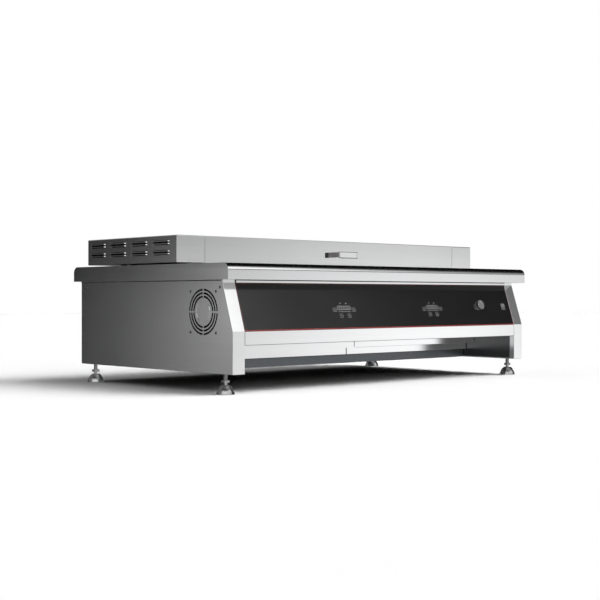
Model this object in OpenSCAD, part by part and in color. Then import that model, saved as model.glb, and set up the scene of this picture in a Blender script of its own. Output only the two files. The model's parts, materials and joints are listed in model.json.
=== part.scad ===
// Counter-top electric grill: a long stainless cabinet on levelling feet, with a sloped touch
// panel, two pull-out drip trays and a louvred housing with a hinged cover on the worktop.
// +X runs along the front from left to right, +Y runs to the back and +Z is up.
// The origin is on the table, under the middle of the whole outline.

/* [Worktop] */
// Length of the worktop from end to end
worktop_l = 1200; // [1160:5:1300]
// Depth of the worktop from front to back
worktop_d = 712; // [700:1:740]
// Height of the folded edge
worktop_t = 42; // [38:1:50]
// Radius of the rolled front and back edges
edge_r = 18; // [8:1:24]
// Thickness of the folded sheet
sheet = 1.5; // [1:0.1:2]

/* [Cabinet] */
// Height of the cabinet under the worktop
body_h = 237.5; // [230:0.5:260]
// How far the worktop stands past each side
side_overhang = 15; // [8:1:20]
// How far the worktop stands past the back
back_overhang = 18; // [17:1:24]
// Width of the front posts
post_w = 39; // [34:1:44]
// Depth of the lip behind each post
post_return = 16; // [12:1:40]
// Height of the open toe space
toe_h = 72; // [70:1:80]
// Height of the rail over the toe space
rail_h = 35.5; // [30:0.5:44]
// Width of the flange that carries the feet
flange_w = 40; // [34:1:44]
// Thickness of that flange
flange_t = 3; // [2:0.5:4]

/* [Control panel] */
// Lean of the panel from upright, in degrees
tilt = 18; // [14:0.5:20]
// Height of the panel along its slope
panel_l = 128; // [120:1:132]
// Thickness of the glass
glass_t = 4; // [3:0.5:5]
// Width of the coloured border
trim_w = 3; // [2:0.5:5]
// Distance of each touch field from the middle
touch_x = 181; // [150:1:220]
// Height of the touch fields along the slope
touch_v = 54; // [45:1:62]
// Place of the knob along the panel
knob_x = 377; // [340:1:400]
// Height of the knob along the slope
knob_v = 58; // [50:1:64]
// Radius of the knob's head
knob_r = 15; // [12:0.5:18]
// How far the knob stands out of the panel
knob_l = 25; // [23:0.5:30]
// Place of the rocker switch along the panel
rocker_x = 512; // [480:1:520]
// Width of the rocker switch
rocker_w = 17; // [14:0.5:24]
// Height of the rocker switch
rocker_h = 20; // [19:0.5:26]
// Rocker's lean to each side, in degrees
rocker_lean = 8; // [4:1:9]

/* [Housing and cover] */
// Length of the housing
box_l = 1193; // [1100:1:1196]
// Depth of the housing
box_d = 426; // [400:1:440]
// Height of the housing
box_h = 72.5; // [66:0.5:84]
// Gap between the housing and the worktop
box_gap = 4; // [3.8:0.1:8]
// Distance of the housing behind the worktop's front
box_setback = 216; // [205:1:230]
// Width of each fixed end block
end_w = 93; // [70:1:100]
// Length of one louvre
louvre_l = 73; // [50:1:80]
// Height of one louvre
louvre_h = 13; // [11:0.5:14]
// How far the louvres stand out
louvre_out = 3; // [2:0.1:3.4]
// Distance between louvres
louvre_pitch = 101; // [90:1:101]
// Width of the handle
handle_w = 77; // [70:1:120]
// How far the handle stands out
handle_out = 58; // [40:1:64]
// Height of the handle's bar
handle_h = 15; // [13:1:22]
// Thickness of the handle's bar
handle_t = 8; // [7:0.5:10]
// Length of the insulating blocks behind the handle
handle_block = 15; // [8:1:18]
// Place of the handle along the cover
handle_x = -25; // [-60:1:60]

/* [Grill wells] */
// Length of one well
zone_l = 470; // [420:1:474]
// Depth of one well
zone_d = 344; // [310:1:350]
// Depth of a well under the worktop
well_depth = 80; // [70:1:100]
// Thickness of a grid bar
grid_bar = 8; // [6:0.5:10]
// Number of bars across one grid
grid_count = 26; // [16:1:30]
// Straight runs of one heating element, an even number
heater_runs = 8; // [6:2:10]
// Radius of the heating element's tube
heater_r = 4.25; // [3:0.25:5]

/* [Drip trays] */
// Distance of the tray's lip behind the front
lip_depth = 159; // [140:1:165]
// Distance of the tray's front wall behind the front
tray_depth = 192; // [180:1:195]
// Length of a tray from front to back
tray_l = 408; // [380:1:420]
// Height of a tray's underside over the cabinet's bottom edge
tray_lift = 25.5; // [24:0.5:28]
// Height of a tray
tray_h = 42; // [36:0.5:43]
// Height of the pull lip
lip_h = 21; // [16:0.5:26]

/* [Fans] */
// Size of the square fan frame
fan_size = 119.5; // [110:0.5:120]
// Distance between the fan's screws
fan_pitch = 105; // [95:0.5:105]
// Depth of the fan
fan_t = 38; // [36:1:40]
// Distance of the fan behind the front
fan_y = 119; // [112:1:125]
// Height of the fan over the cabinet's bottom edge
fan_up = 155.5; // [150:0.5:160]
// Mean radius of the outer ring slot
ring_r = 57; // [54:0.5:58]
// Distance between ring slots
ring_step = 9; // [8:0.5:10]
// Width of a ring slot
ring_slot = 5; // [4:0.5:6]
// Width of the bridges across the slots
ring_bridge = 4.5; // [3:0.5:8]
// Blades on a fan
fan_blades = 7; // [5:1:9]

/* [Feet] */
// Height of the cabinet's bottom edge over the table
foot_h = 51; // [50:1:60]
// Radius of a foot
foot_r = 26; // [22:0.5:27]
// Distance of a foot from the side
foot_side = 14; // [13:0.5:24]
// Distance of a front foot from the front
foot_front = 46; // [40:1:70]
// Distance of a back foot from the back
foot_rear = 53; // [40:1:70]

/* [Cable gland] */
// Radius of the cable's bore
gland_r = 9; // [6:0.5:10]
// Place of the gland along the back
gland_x = 430; // [380:1:480]

/* [Hidden] */
$fn = 64;

steel = [0.78, 0.78, 0.77];
dark_steel = [0.34, 0.35, 0.37];
black = [0.06, 0.06, 0.07];
green = [0.10, 0.34, 0.20];

// Overshoot of cutting tools, and clearances
cut = 1;
press = 0.02;
running = 0.05;
touch_gap = 0.2;

// The knob is the foremost piece, so it moves the middle of the outline.
// The front is rounded to a tenth of a millimetre, to keep every place behind it a round number.
knob_lead = knob_l * cos(tilt) + (knob_r - knob_v) * sin(tilt);
front = round(5 * (knob_lead - worktop_d)) / 10;
back = front + worktop_d;
body_back = back - back_overhang;
side_x = worktop_l / 2 - side_overhang;
inner_x = side_x - sheet;
panel_x = side_x - post_w;

base_z = foot_h;
rail_z = base_z + toe_h;
panel_z = rail_z + rail_h;
worktop_z = base_z + body_h;
top_z = worktop_z + worktop_t;
inner_top = top_z - sheet;

// The panel and its posts lean back up to a short upright strip under the worktop
joint_gap = 0.2;
slope_l = panel_l + 2 * joint_gap;
panel_back = slope_l * sin(tilt);
strip_y = front + panel_back;
strip_z = panel_z + slope_l * cos(tilt);
glue_t = 0.05;
frame_w = -glass_t - glue_t - sheet;

divider_depth = 205;
rail_flange = 25;
floor_z = rail_z + 2 * sheet;

box_z = top_z + box_gap;
box_top = box_z + box_h;
box_front = front + box_setback;
box_back = box_front + box_d;
cover_x = box_l / 2 - end_w - 1;

// The cover turns about a line just inside its lower back edge
pivot_in = 8;
pivot_y = box_back - pivot_in;
pivot_z = box_z + pivot_in;
pin_r = 4;
bush_r = 6;
bush_l = 12;

zone_gap = 26;
zone_x = (zone_l + zone_gap) / 2;
well_inset = 22;
well_front = box_front + well_inset;
well_back = well_front + zone_d;
well_z = top_z - well_depth;
pan_flange = 8;
pan_t = 1.5;
grid_z = top_z + pan_t;
heater_drop = 30;
heater_z = top_z - heater_drop;
heater_in = 35;
heater_pitch = floor((zone_l - 2 * heater_in) / (heater_runs - 1));
bend_in = 40;
heater_front = well_front + bend_in;
heater_back = well_back - bend_in;
probe_drop = 16;
probe_z = heater_z - probe_drop;
probe_r = 3;
drain_r = 18;
drain_in = 110;
drain_y = well_front + drain_in;
wool_side = 10;
wool_floor = 25;

tray_z = base_z + tray_lift;
tray_t = 1.2;
tray_front = front + tray_depth;
tray_back = tray_front + tray_l;

fan_z = base_z + fan_up;
ring_count = 3;
screw_head_r = 4;
screw_r = 2;

hex_z = 29;
hex_h = 6.5;
hex_flats = 19;
stem_r = 4;
socket_r = 5.5;
socket_up = 13;
stem_top = foot_h + 16;
foot_x = side_x - foot_side;
foot_front_y = front + foot_front;
foot_back_y = body_back - foot_rear;

gland_z = base_z + 60;
gland_thread_r = 12.5;
gland_out = 15;
gland_in = 20;

// Helpers

module slab(low, high) {
  translate(low) cube(high - low);
}

// A flat outline in Y and Z, made thick along X
module along_x(length) {
  rotate([90, 0, 90]) linear_extrude(length) children();
}

// Local frame on the sloped panel: x to the right, y up the slope, z out of the face
module on_panel(x, v) {
  translate([x, front, panel_z]) rotate([90 - tilt, 0, 0]) translate([0, v, 0]) children();
}

module rightward(right) {
  mirror([right ? 1 : 0, 0, 0]) children();
}

// Local frame at the left fan: z runs inwards, along the fan's axis
module at_fan() {
  translate([-inner_x, front + fan_y, fan_z]) rotate([90, 0, 90]) children();
}

module four_corners(pitch) {
  for (x = [-1, 1], y = [-1, 1]) translate([x, y] * pitch / 2) children();
}

// Cabinet

module worktop_outline(inset) {
  r = edge_r - inset;
  low = worktop_z - (inset > 0 ? cut : 0);
  translate([front + inset, low]) square([worktop_d - 2 * inset, top_z - edge_r - low]);
  translate([front + edge_r, low]) square([worktop_d - 2 * edge_r, top_z - inset - low]);
  for (y = [front + edge_r, back - edge_r]) translate([y, top_z - edge_r]) circle(r);
}

// Under its rim the worktop turns in, as far as the body
module worktop() {
  room = 1;
  half = worktop_l / 2;
  lip_top = worktop_z + sheet;
  color(steel) {
    difference() {
      translate([-half, 0, 0]) along_x(worktop_l) worktop_outline(0);
      translate([-half + sheet, 0, 0]) along_x(worktop_l - 2 * sheet) worktop_outline(sheet);
      for (x = [-zone_x, zone_x])
        slab([x - zone_l / 2 - room, well_front - room, inner_top - cut],
             [x + zone_l / 2 + room, well_back + room, top_z + cut]);
    }
    slab([-half, front, worktop_z], [half, strip_y - joint_gap, lip_top]);
    slab([-half, body_back + joint_gap, worktop_z], [half, back, lip_top]);
    for (right = [false, true]) rightward(right)
      slab([-half, front, worktop_z], [-side_x - joint_gap, back, lip_top]);
  }
}

module side_outline() {
  polygon([
    [front, base_z], [front, panel_z], [strip_y, strip_z], [strip_y, inner_top],
    [body_back, inner_top], [body_back, base_z]
  ]);
}

module ring_slots() {
  difference() {
    for (i = [0 : ring_count - 1]) difference() {
      circle(ring_r - i * ring_step + ring_slot / 2);
      circle(ring_r - i * ring_step - ring_slot / 2);
    }
    for (a = [0, 90]) rotate(a) square([3 * ring_r, ring_bridge], center = true);
  }
}

panel_screw_ys = [front + 50, body_back - 30];
panel_screw_z = worktop_z - 19;

// The fan grille is punched in the sheet, with a shallow pressed ring inside it
module side_sheet() {
  emboss = 0.5;
  difference() {
    translate([-side_x, 0, 0]) along_x(sheet) side_outline();
    at_fan() {
      translate([0, 0, -sheet - cut]) linear_extrude(sheet + 2 * cut) {
        ring_slots();
        four_corners(fan_pitch) circle(screw_r + press);
      }
      translate([0, 0, -sheet - cut]) linear_extrude(cut + emboss) difference() {
        circle(ring_r / 2);
        circle(ring_r / 2 - emboss * 4);
      }
    }
    for (y = panel_screw_ys) translate([-side_x - cut, y, panel_screw_z]) rotate([0, 90, 0])
      cylinder(r = screw_r + press, h = sheet + 2 * cut);
  }
}

module post_skin() {
  bend = sheet * tan(tilt / 2);
  translate([-inner_x, 0, 0]) along_x(post_w - sheet) polygon([
    [front, base_z], [front, panel_z], [strip_y, strip_z], [strip_y, inner_top],
    [strip_y + sheet, inner_top], [strip_y + sheet, strip_z - bend],
    [front + sheet, panel_z - bend], [front + sheet, base_z]
  ]);
}

module side_panel() {
  side_sheet();
  post_skin();
  slab([-panel_x - sheet, front, base_z], [-panel_x, front + post_return, rail_z]);
  difference() {
    slab([-inner_x, front + sheet, base_z],
         [-side_x + flange_w, body_back - sheet, base_z + flange_t]);
    for (y = [foot_front_y, foot_back_y]) translate([-foot_x, y, base_z - cut])
      cylinder(r = socket_r + press, h = flange_t + 2 * cut);
  }
}

module side_panel_left() { color(steel) side_panel(); }

module side_panel_right() { color(steel) rightward(true) side_panel(); }

back_screw_zs = [base_z + 30, worktop_z - 20];
back_screw_xs = [for (i = [-1.5 : 1 : 1.5]) i * 360];

module back_panel() {
  slot_count = 12;
  slot_pitch = 26;
  slot_w = 7;
  slot_h = 46;
  slot_z = worktop_z - 75;
  slot_first = -(slot_count - 1) / 2 * slot_pitch - slot_w / 2;
  color(steel) difference() {
    slab([-inner_x, body_back - sheet, base_z], [inner_x, body_back, inner_top]);
    for (x = [-zone_x, zone_x], i = [0 : slot_count - 1])
      translate([x + slot_first + i * slot_pitch, body_back - sheet - cut, slot_z])
        cube([slot_w, sheet + 2 * cut, slot_h]);
    translate([gland_x, body_back + cut, gland_z]) rotate([90, 0, 0])
      cylinder(r = gland_thread_r + press, h = sheet + 2 * cut);
    for (x = back_screw_xs, z = back_screw_zs) translate([x, body_back + cut, z])
      rotate([90, 0, 0]) cylinder(r = screw_r + press, h = sheet + 2 * cut);
  }
}

module base_panel() {
  flange_end = side_x - flange_w - joint_gap;
  wall_y = front + divider_depth;
  low = base_z + flange_t;
  wall_top = tray_z - 2;
  color(dark_steel) {
    difference() {
      slab([-inner_x, wall_y, low], [inner_x, body_back - sheet, low + sheet]);
      for (x = [-foot_x, foot_x]) translate([x, foot_back_y, low - cut])
        cylinder(r = socket_r + press, h = sheet + 2 * cut);
    }
    slab([-flange_end, wall_y - sheet, base_z], [flange_end, wall_y, wall_top]);
  }
}

module front_rail() {
  seam = 1.2;
  end = panel_x - seam;
  trim_room = 0.6;
  color(steel) {
    slab([-end, front, rail_z], [end, front + sheet, panel_z - trim_room]);
    slab([-end, front, rail_z], [end, front + rail_flange, rail_z + sheet]);
  }
}

module compartment_floor() {
  lead = 4;
  color(dark_steel)
    slab([-inner_x, front + lead, rail_z + sheet],
         [inner_x, front + divider_depth - sheet, floor_z]);
}

module divider_panel() {
  y = front + divider_depth;
  color(dark_steel) slab([-inner_x, y - sheet, rail_z + sheet], [inner_x, y, inner_top]);
}

// Control panel

shaft_hole_r = 5;
rocker_hole = [rocker_w - 3, rocker_h - 3];

// A point at height v along the slope and w out of the panel, in Y and Z
function slope_point(v, w) =
  [front + v * sin(tilt) - w * cos(tilt), panel_z + v * cos(tilt) + w * sin(tilt)];

// A plate behind the glass, stepped forward over it to the upright strip
module panel_frame() {
  end = panel_x - joint_gap;
  window = [92, 50];
  low = 1;
  high = inner_top - joint_gap;
  step_w = -sheet * (1 - sin(tilt)) / cos(tilt);
  color(steel) difference() {
    translate([-end, 0, 0]) along_x(2 * end) polygon([
      slope_point(low, frame_w), slope_point(low, frame_w + sheet),
      slope_point(slope_l, frame_w + sheet), [strip_y, strip_z], [strip_y, high],
      [strip_y + sheet, high], slope_point(slope_l + sheet, step_w),
      slope_point(slope_l + sheet, frame_w)
    ]);
    for (x = [-touch_x, touch_x]) on_panel(x, touch_v) translate([0, 0, frame_w])
      cube([window.x, window.y, 3 * sheet], center = true);
    on_panel(knob_x, knob_v) translate([0, 0, frame_w - cut])
      cylinder(r = shaft_hole_r, h = sheet + 2 * cut);
    on_panel(rocker_x, knob_v) translate([0, 0, frame_w])
      cube([rocker_hole.x, rocker_hole.y, 3 * sheet], center = true);
  }
}

module control_glass() {
  end = panel_x - trim_w - 2 * joint_gap;
  low = trim_w + joint_gap;
  color(black) difference() {
    on_panel(-end, low) translate([0, 0, -glass_t])
      cube([2 * end, panel_l - joint_gap - 2 * low, glass_t]);
    on_panel(knob_x, knob_v) translate([0, 0, -glass_t - cut])
      cylinder(r = shaft_hole_r, h = glass_t + 2 * cut);
    on_panel(rocker_x, knob_v)
      cube([rocker_hole.x, rocker_hole.y, 3 * glass_t], center = true);
  }
}

module panel_trim() {
  end = panel_x - joint_gap;
  low = joint_gap / 2;
  height = panel_l - joint_gap;
  proud = 0.3;
  color([0.72, 0.10, 0.07]) difference() {
    on_panel(-end, low) translate([0, 0, -glass_t]) cube([2 * end, height, glass_t + proud]);
    on_panel(-end + trim_w, low + trim_w) translate([0, 0, -glass_t - cut])
      cube([2 * (end - trim_w), height - 2 * trim_w, glass_t + proud + 2 * cut]);
  }
}

// A touch board lies against the back of the glass, with its display and sensing pads
module touch_board(x) {
  board = [88, 46, 1.6];
  display = [40, 16, 6];
  pad_r = 5;
  pad_h = 3;
  pad = [32, 12];
  board_w = -glass_t - board.z - joint_gap;
  color(green) on_panel(x, touch_v) {
    translate([-board.x / 2, -board.y / 2, board_w]) cube(board);
    translate([-display.x / 2, -display.y / 2, board_w - display.z]) cube(display);
    for (px = [-pad.x, pad.x], py = [-pad.y, pad.y]) translate([px, py, board_w - pad_h])
      cylinder(r = pad_r, h = pad_h);
  }
}

module touch_board_left() { touch_board(-touch_x); }

module touch_board_right() { touch_board(touch_x); }

shaft_r = 3;
shaft_out = 18;
cap_t = 1.2;

// A round base, a narrower neck and a head that the metal cap closes
module knob() {
  gap = 0.6;
  neck_r = knob_r * 0.55;
  neck_h = 7;
  rim_h = 5;
  face_z = knob_l - cap_t;
  color(black) on_panel(knob_x, knob_v) difference() {
    rotate_extrude() polygon([
      [0, gap], [neck_r, gap], [neck_r, neck_h], [knob_r, face_z - rim_h],
      [knob_r, face_z], [0, face_z]
    ]);
    cylinder(r = shaft_r + press, h = shaft_out + press);
  }
}

module knob_cap() {
  cap_r = knob_r - 1;
  mark = [1.6, 6];
  color(steel) on_panel(knob_x, knob_v) translate([0, 0, knob_l - cap_t]) difference() {
    cylinder(r = cap_r, h = cap_t);
    translate([-mark.x / 2, cap_r - mark.y, cap_t / 2]) cube([mark.x, mark.y + cut, cap_t]);
  }
}

switch_depth = 26;
shaft_foot = 4;

module knob_shaft() {
  low = frame_w - switch_depth + shaft_foot;
  color(steel) on_panel(knob_x, knob_v) translate([0, 0, low])
    cylinder(r = shaft_r, h = shaft_out - low);
}

module rotary_switch() {
  size = 38;
  color([0.25, 0.24, 0.22]) on_panel(knob_x, knob_v) difference() {
    translate([-size / 2, -size / 2, frame_w - switch_depth]) cube([size, size, switch_depth]);
    translate([0, 0, frame_w - switch_depth + shaft_foot - touch_gap])
      cylinder(r = shaft_r + running, h = switch_depth);
  }
}

// The rocker leans to its off side at rest
rocker_in = 3;
rocker_pin_r = 1.5;
rocker_pin_out = 1;
rocker_l = rocker_w - 6.8;
rocker_half = rocker_h / 2 - 4.6;

module rocker() {
  tip = 5.6;
  dip = 4;
  keel = 5;
  keel_half = rocker_half * 0.6;
  color([0.20, 0.20, 0.21]) on_panel(rocker_x, knob_v) translate([0, 0, -rocker_in])
    rotate([-rocker_lean, 0, 0]) {
      translate([-rocker_l / 2, 0, 0]) along_x(rocker_l) polygon([
        [-rocker_half, tip], [0, dip], [rocker_half, tip], [rocker_half, 0],
        [keel_half, -keel], [-keel_half, -keel], [-rocker_half, 0]
      ]);
      translate([-rocker_l / 2 - rocker_pin_out, 0, 0]) rotate([0, 90, 0])
        cylinder(r = rocker_pin_r, h = rocker_l + 2 * rocker_pin_out);
    }
}

module rocker_housing() {
  body = [rocker_hole.x - 2 * joint_gap, rocker_hole.y - 2 * joint_gap, 24];
  rim_t = 1.2;
  well = [rocker_l + 0.8, 2 * rocker_half + 2.4, 14];
  pin_l = rocker_l + 2 * rocker_pin_out + 2 * joint_gap;
  color([0.55, 0.56, 0.57]) on_panel(rocker_x, knob_v) difference() {
    union() {
      translate([-rocker_w / 2, -rocker_h / 2, 0]) cube([rocker_w, rocker_h, rim_t]);
      translate([-body.x / 2, -body.y / 2, -body.z]) cube(body);
    }
    translate([-well.x / 2, -well.y / 2, rim_t + cut - well.z]) cube(well);
    translate([-pin_l / 2, 0, -rocker_in]) rotate([0, 90, 0])
      cylinder(r = rocker_pin_r + running, h = pin_l);
  }
}

// The power board stands on posts, with a row of relays and a finned heat sink
module control_board() {
  board = [220, 96, 1.6];
  depth = 62;
  post_r = 3;
  post_h = 8;
  post_in = 8;
  first_x = 24;
  relay = [19, 16, 16];
  relay_y = 12;
  relay_pitch = 30;
  relay_count = 6;
  fin = [3, 34, 40];
  fin_pitch = 16;
  fin_count = 10;
  sink_y = 52;
  sink_t = 5;
  color(green) translate([-board.x / 2, front + depth, floor_z]) {
    translate([0, 0, post_h]) cube(board);
    for (x = [post_in, board.x - post_in], y = [post_in, board.y - post_in]) translate([x, y, 0])
      cylinder(r = post_r, h = post_h);
    translate([first_x, 0, post_h + board.z]) {
      for (i = [0 : relay_count - 1]) translate([i * relay_pitch, relay_y, 0]) cube(relay);
      for (i = [0 : fin_count - 1]) translate([i * fin_pitch, sink_y, 0]) cube(fin);
      translate([0, sink_y, 0]) cube([(fin_count - 1) * fin_pitch + fin.x, fin.y, sink_t]);
    }
  }
}

module contactors() {
  size = [48, 78, 82];
  middle_x = 232;
  depth = 78;
  post_pitch = 14;
  post_y = 10;
  post_h = 4;
  color([0.30, 0.30, 0.31]) for (side = [-1, 1])
    translate([side * middle_x - size.x / 2, front + depth, floor_z]) {
      cube(size);
      for (i = [-1 : 1]) translate([size.x / 2 + i * post_pitch, post_y, size.z])
        cylinder(r = screw_head_r, h = post_h);
    }
}

module terminal_block() {
  poles = 5;
  pole = [14, 34, 30];
  hole_r = 3.5;
  hole_depth = 8;
  hole_ys = [9, 25];
  from_back = 62;
  corner = [gland_x - poles * pole.x / 2, body_back - from_back, base_z + flange_t + sheet];
  color([0.85, 0.83, 0.76]) translate(corner) difference() {
    cube([poles * pole.x, pole.y, pole.z]);
    for (i = [0 : poles - 1], y = hole_ys) translate([(i + 0.5) * pole.x, y, pole.z - hole_depth])
      cylinder(r = hole_r, h = hole_depth + cut);
  }
}

// A round gland with a hexagon outside the back and a lock nut inside
module cable_gland() {
  hex_r = 16;
  nut_t = 6;
  dome_l = 7;
  outside = body_back + gland_out;
  color([0.16, 0.16, 0.17]) translate([gland_x, outside, gland_z]) rotate([90, 0, 0]) difference() {
    union() {
      cylinder(r = gland_thread_r, h = gland_out + gland_in);
      translate([0, 0, dome_l]) cylinder(r = hex_r, h = gland_out - dome_l, $fn = 6);
      translate([0, 0, gland_out + sheet]) cylinder(r = hex_r, h = nut_t, $fn = 6);
    }
    translate([0, 0, -cut]) cylinder(r = gland_r, h = gland_out + gland_in + 2 * cut);
  }
}

// Fans

fan_bore = 57;
strut_t = 4;
strut_w = 6;
fan_shaft_r = 2.5;
fan_shaft_z = 7;
hub_r = 20;

module fan_frame() {
  at_fan() {
    difference() {
      translate([-fan_size / 2, -fan_size / 2, 0]) cube([fan_size, fan_size, fan_t]);
      translate([0, 0, -cut]) cylinder(r = fan_bore, h = fan_t + 2 * cut);
      four_corners(fan_pitch) translate([0, 0, -cut])
        cylinder(r = screw_r + press, h = fan_t + 2 * cut);
    }
    translate([0, 0, fan_t - strut_t]) {
      cylinder(r = hub_r, h = strut_t);
      for (a = [45 : 90 : 315]) rotate(a) translate([0, -strut_w / 2, 0])
        cube([fan_bore + 1, strut_w, strut_t]);
    }
    translate([0, 0, fan_shaft_z]) cylinder(r = fan_shaft_r, h = fan_t - strut_t - fan_shaft_z);
  }
}

module fan_frame_left() { color(black) fan_frame(); }

module fan_frame_right() { color(black) rightward(true) fan_frame(); }

module impeller() {
  hub_low = 5;
  hub_high = fan_t - strut_t - 4;
  chord = 22;
  blade_t = 1.8;
  blade_start = hub_r - 3;
  blade_end = fan_bore - 2.4;
  pitch = 42;
  at_fan() difference() {
    union() {
      translate([0, 0, hub_low]) cylinder(r = hub_r, h = hub_high - hub_low);
      for (i = [0 : fan_blades - 1]) rotate(i * 360 / fan_blades)
        translate([blade_start, 0, (hub_low + hub_high) / 2]) rotate([pitch, 0, 0])
          translate([0, -blade_t / 2, -chord / 2])
            cube([blade_end - blade_start, blade_t, chord]);
    }
    translate([0, 0, fan_shaft_z - touch_gap])
      cylinder(r = fan_shaft_r + running, h = fan_t);
  }
}

module impeller_left() { color(black) impeller(); }

module impeller_right() { color(black) rightward(true) impeller(); }

// Grill wells, drawn for the left zone

function run_x(i) = -zone_x + (i - (heater_runs - 1) / 2) * heater_pitch;

module lead_holes(room) {
  for (i = [0, heater_runs - 1]) translate([run_x(i), well_front + cut + pan_t, heater_z])
    rotate([90, 0, 0]) cylinder(r = heater_r + room, h = wool_side + pan_t + 2 * cut);
  translate([-zone_x, well_front + cut + pan_t, probe_z]) rotate([90, 0, 0])
    cylinder(r = probe_r + room, h = wool_side + pan_t + 2 * cut);
}

module well_pan() {
  left = -zone_x - zone_l / 2;
  right = -zone_x + zone_l / 2;
  drain_low = tray_z + tray_h + 2.5;
  rest_in = 95;
  rest = [6, 3];
  rest_top = heater_z - heater_r - touch_gap;
  difference() {
    union() {
      slab([left, well_front, well_z], [right, well_back, top_z]);
      slab([left - pan_flange, well_front - pan_flange, top_z],
           [right + pan_flange, well_back + pan_flange, top_z + pan_t]);
      translate([-zone_x, drain_y, drain_low]) cylinder(r = drain_r, h = well_z - drain_low + pan_t);
    }
    slab([left + pan_t, well_front + pan_t, well_z + pan_t],
         [right - pan_t, well_back - pan_t, top_z + pan_t + cut]);
    translate([-zone_x, drain_y, drain_low - cut]) cylinder(r = drain_r - pan_t, h = well_z);
    lead_holes(press);
  }
  for (y = [well_front + rest_in, well_back - rest_in])
    slab([left + pan_t, y - rest.x / 2, rest_top - rest.y],
         [right - pan_t, y + rest.x / 2, rest_top]);
}

module well_pan_left() { color(dark_steel) well_pan(); }

module well_pan_right() { color(dark_steel) rightward(true) well_pan(); }

module well_insulation() {
  left = -zone_x - zone_l / 2;
  right = -zone_x + zone_l / 2;
  high = inner_top - 1;
  difference() {
    slab([left - wool_side, well_front - wool_side, well_z - wool_floor],
         [right + wool_side, well_back + wool_side, high]);
    slab([left, well_front, well_z], [right, well_back, high + cut]);
    translate([-zone_x, drain_y, well_z - wool_floor - cut])
      cylinder(r = drain_r + press, h = wool_floor + 2 * cut);
    lead_holes(press);
  }
}

module well_insulation_left() { color([0.86, 0.83, 0.72]) well_insulation(); }

module well_insulation_right() { color([0.86, 0.83, 0.72]) rightward(true) well_insulation(); }

// One tube folded back and forth, with both ends leaving through the front of the well
module heater() {
  lead_out = 4;
  lead_y = well_front - wool_side - lead_out;
  for (i = [0 : heater_runs - 1]) {
    lead = i == 0 || i == heater_runs - 1;
    low = lead ? lead_y : heater_front;
    translate([run_x(i), low, heater_z]) rotate([-90, 0, 0])
      cylinder(r = heater_r, h = heater_back - low);
  }
  for (i = [0 : heater_runs - 2]) {
    far = i % 2 == 0;
    translate([(run_x(i) + run_x(i + 1)) / 2, far ? heater_back : heater_front, heater_z])
      rotate(far ? 0 : 180) rotate_extrude(angle = 180)
        translate([heater_pitch / 2, 0]) circle(heater_r);
  }
}

module heater_left() { color([0.30, 0.22, 0.18]) heater(); }

module heater_right() { color([0.30, 0.22, 0.18]) rightward(true) heater(); }

module probe() {
  length = 130;
  head_r = 5;
  head_l = 5;
  head_out = 6;
  translate([-zone_x, well_front - wool_side - head_out, probe_z]) rotate([-90, 0, 0]) {
    cylinder(r = probe_r, h = length);
    cylinder(r = head_r, h = head_l);
  }
}

module probe_left() { color(steel) probe(); }

module probe_right() { color(steel) rightward(true) probe(); }

module grid() {
  over = 5;
  border = 12;
  left = -zone_x - zone_l / 2 - over;
  length = zone_l + 2 * over;
  depth = zone_d + 2 * over;
  step = (length - border) / (grid_count + 1);
  bar_r = grid_bar / 2 - 0.5;
  translate([left, well_front - over, grid_z]) {
    difference() {
      cube([length, depth, grid_bar]);
      translate([border, border, -cut])
        cube([length - 2 * border, depth - 2 * border, grid_bar + 2 * cut]);
    }
    for (i = [1 : grid_count]) translate([border / 2 + i * step, border / 2, grid_bar / 2])
      rotate([-90, 0, 0]) cylinder(r = bar_r, h = depth - border);
  }
}

module grid_left() { color([0.17, 0.17, 0.17]) grid(); }

module grid_right() { color([0.17, 0.17, 0.17]) rightward(true) grid(); }

// A drip tray hangs its pull lip in front of its front wall
module drip_tray() {
  side_room = 2;
  middle_room = 1.5;
  left = -panel_x + side_room;
  right = -middle_room;
  lip_y = front + lip_depth;
  high = tray_z + tray_h;
  difference() {
    slab([left, tray_front, tray_z], [right, tray_back, high]);
    slab([left + tray_t, tray_front + tray_t, tray_z + tray_t],
         [right - tray_t, tray_back - tray_t, high + cut]);
  }
  slab([left, lip_y, high - tray_t], [right, tray_front + tray_t, high]);
  slab([left, lip_y, high - lip_h], [right, lip_y + tray_t, high]);
}

module drip_tray_left() { color(steel) drip_tray(); }

module drip_tray_right() { color(steel) rightward(true) drip_tray(); }

// Three shelves that the trays slide on, and a wall at each side of their bay
module tray_runners() {
  low = base_z + flange_t + sheet;
  high = tray_z - touch_gap;
  lead = front + divider_depth + 1;
  rear = tray_back + 20;
  shelf = [20, 1.6];
  web = 3;
  wall_x = panel_x + joint_gap;
  wall_front = front + post_return + 1;
  wall_top = rail_z + sheet - joint_gap;
  color(dark_steel) {
    for (x = [-panel_x + 1, -shelf.x / 2, panel_x - shelf.x - 1]) {
      slab([x, lead, high - shelf.y], [x + shelf.x, rear, high]);
      slab([x + (shelf.x - web) / 2, lead, low], [x + (shelf.x + web) / 2, rear, high - shelf.y]);
    }
    for (right = [false, true]) rightward(right) {
      slab([-wall_x - sheet, wall_front, base_z + flange_t], [-wall_x, lead, wall_top]);
      slab([-wall_x - sheet, lead, low], [-wall_x, rear, wall_top]);
    }
  }
}

// Housing and cover

louvre_rows = [27.5, 54];
louvre_first = 32;

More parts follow.
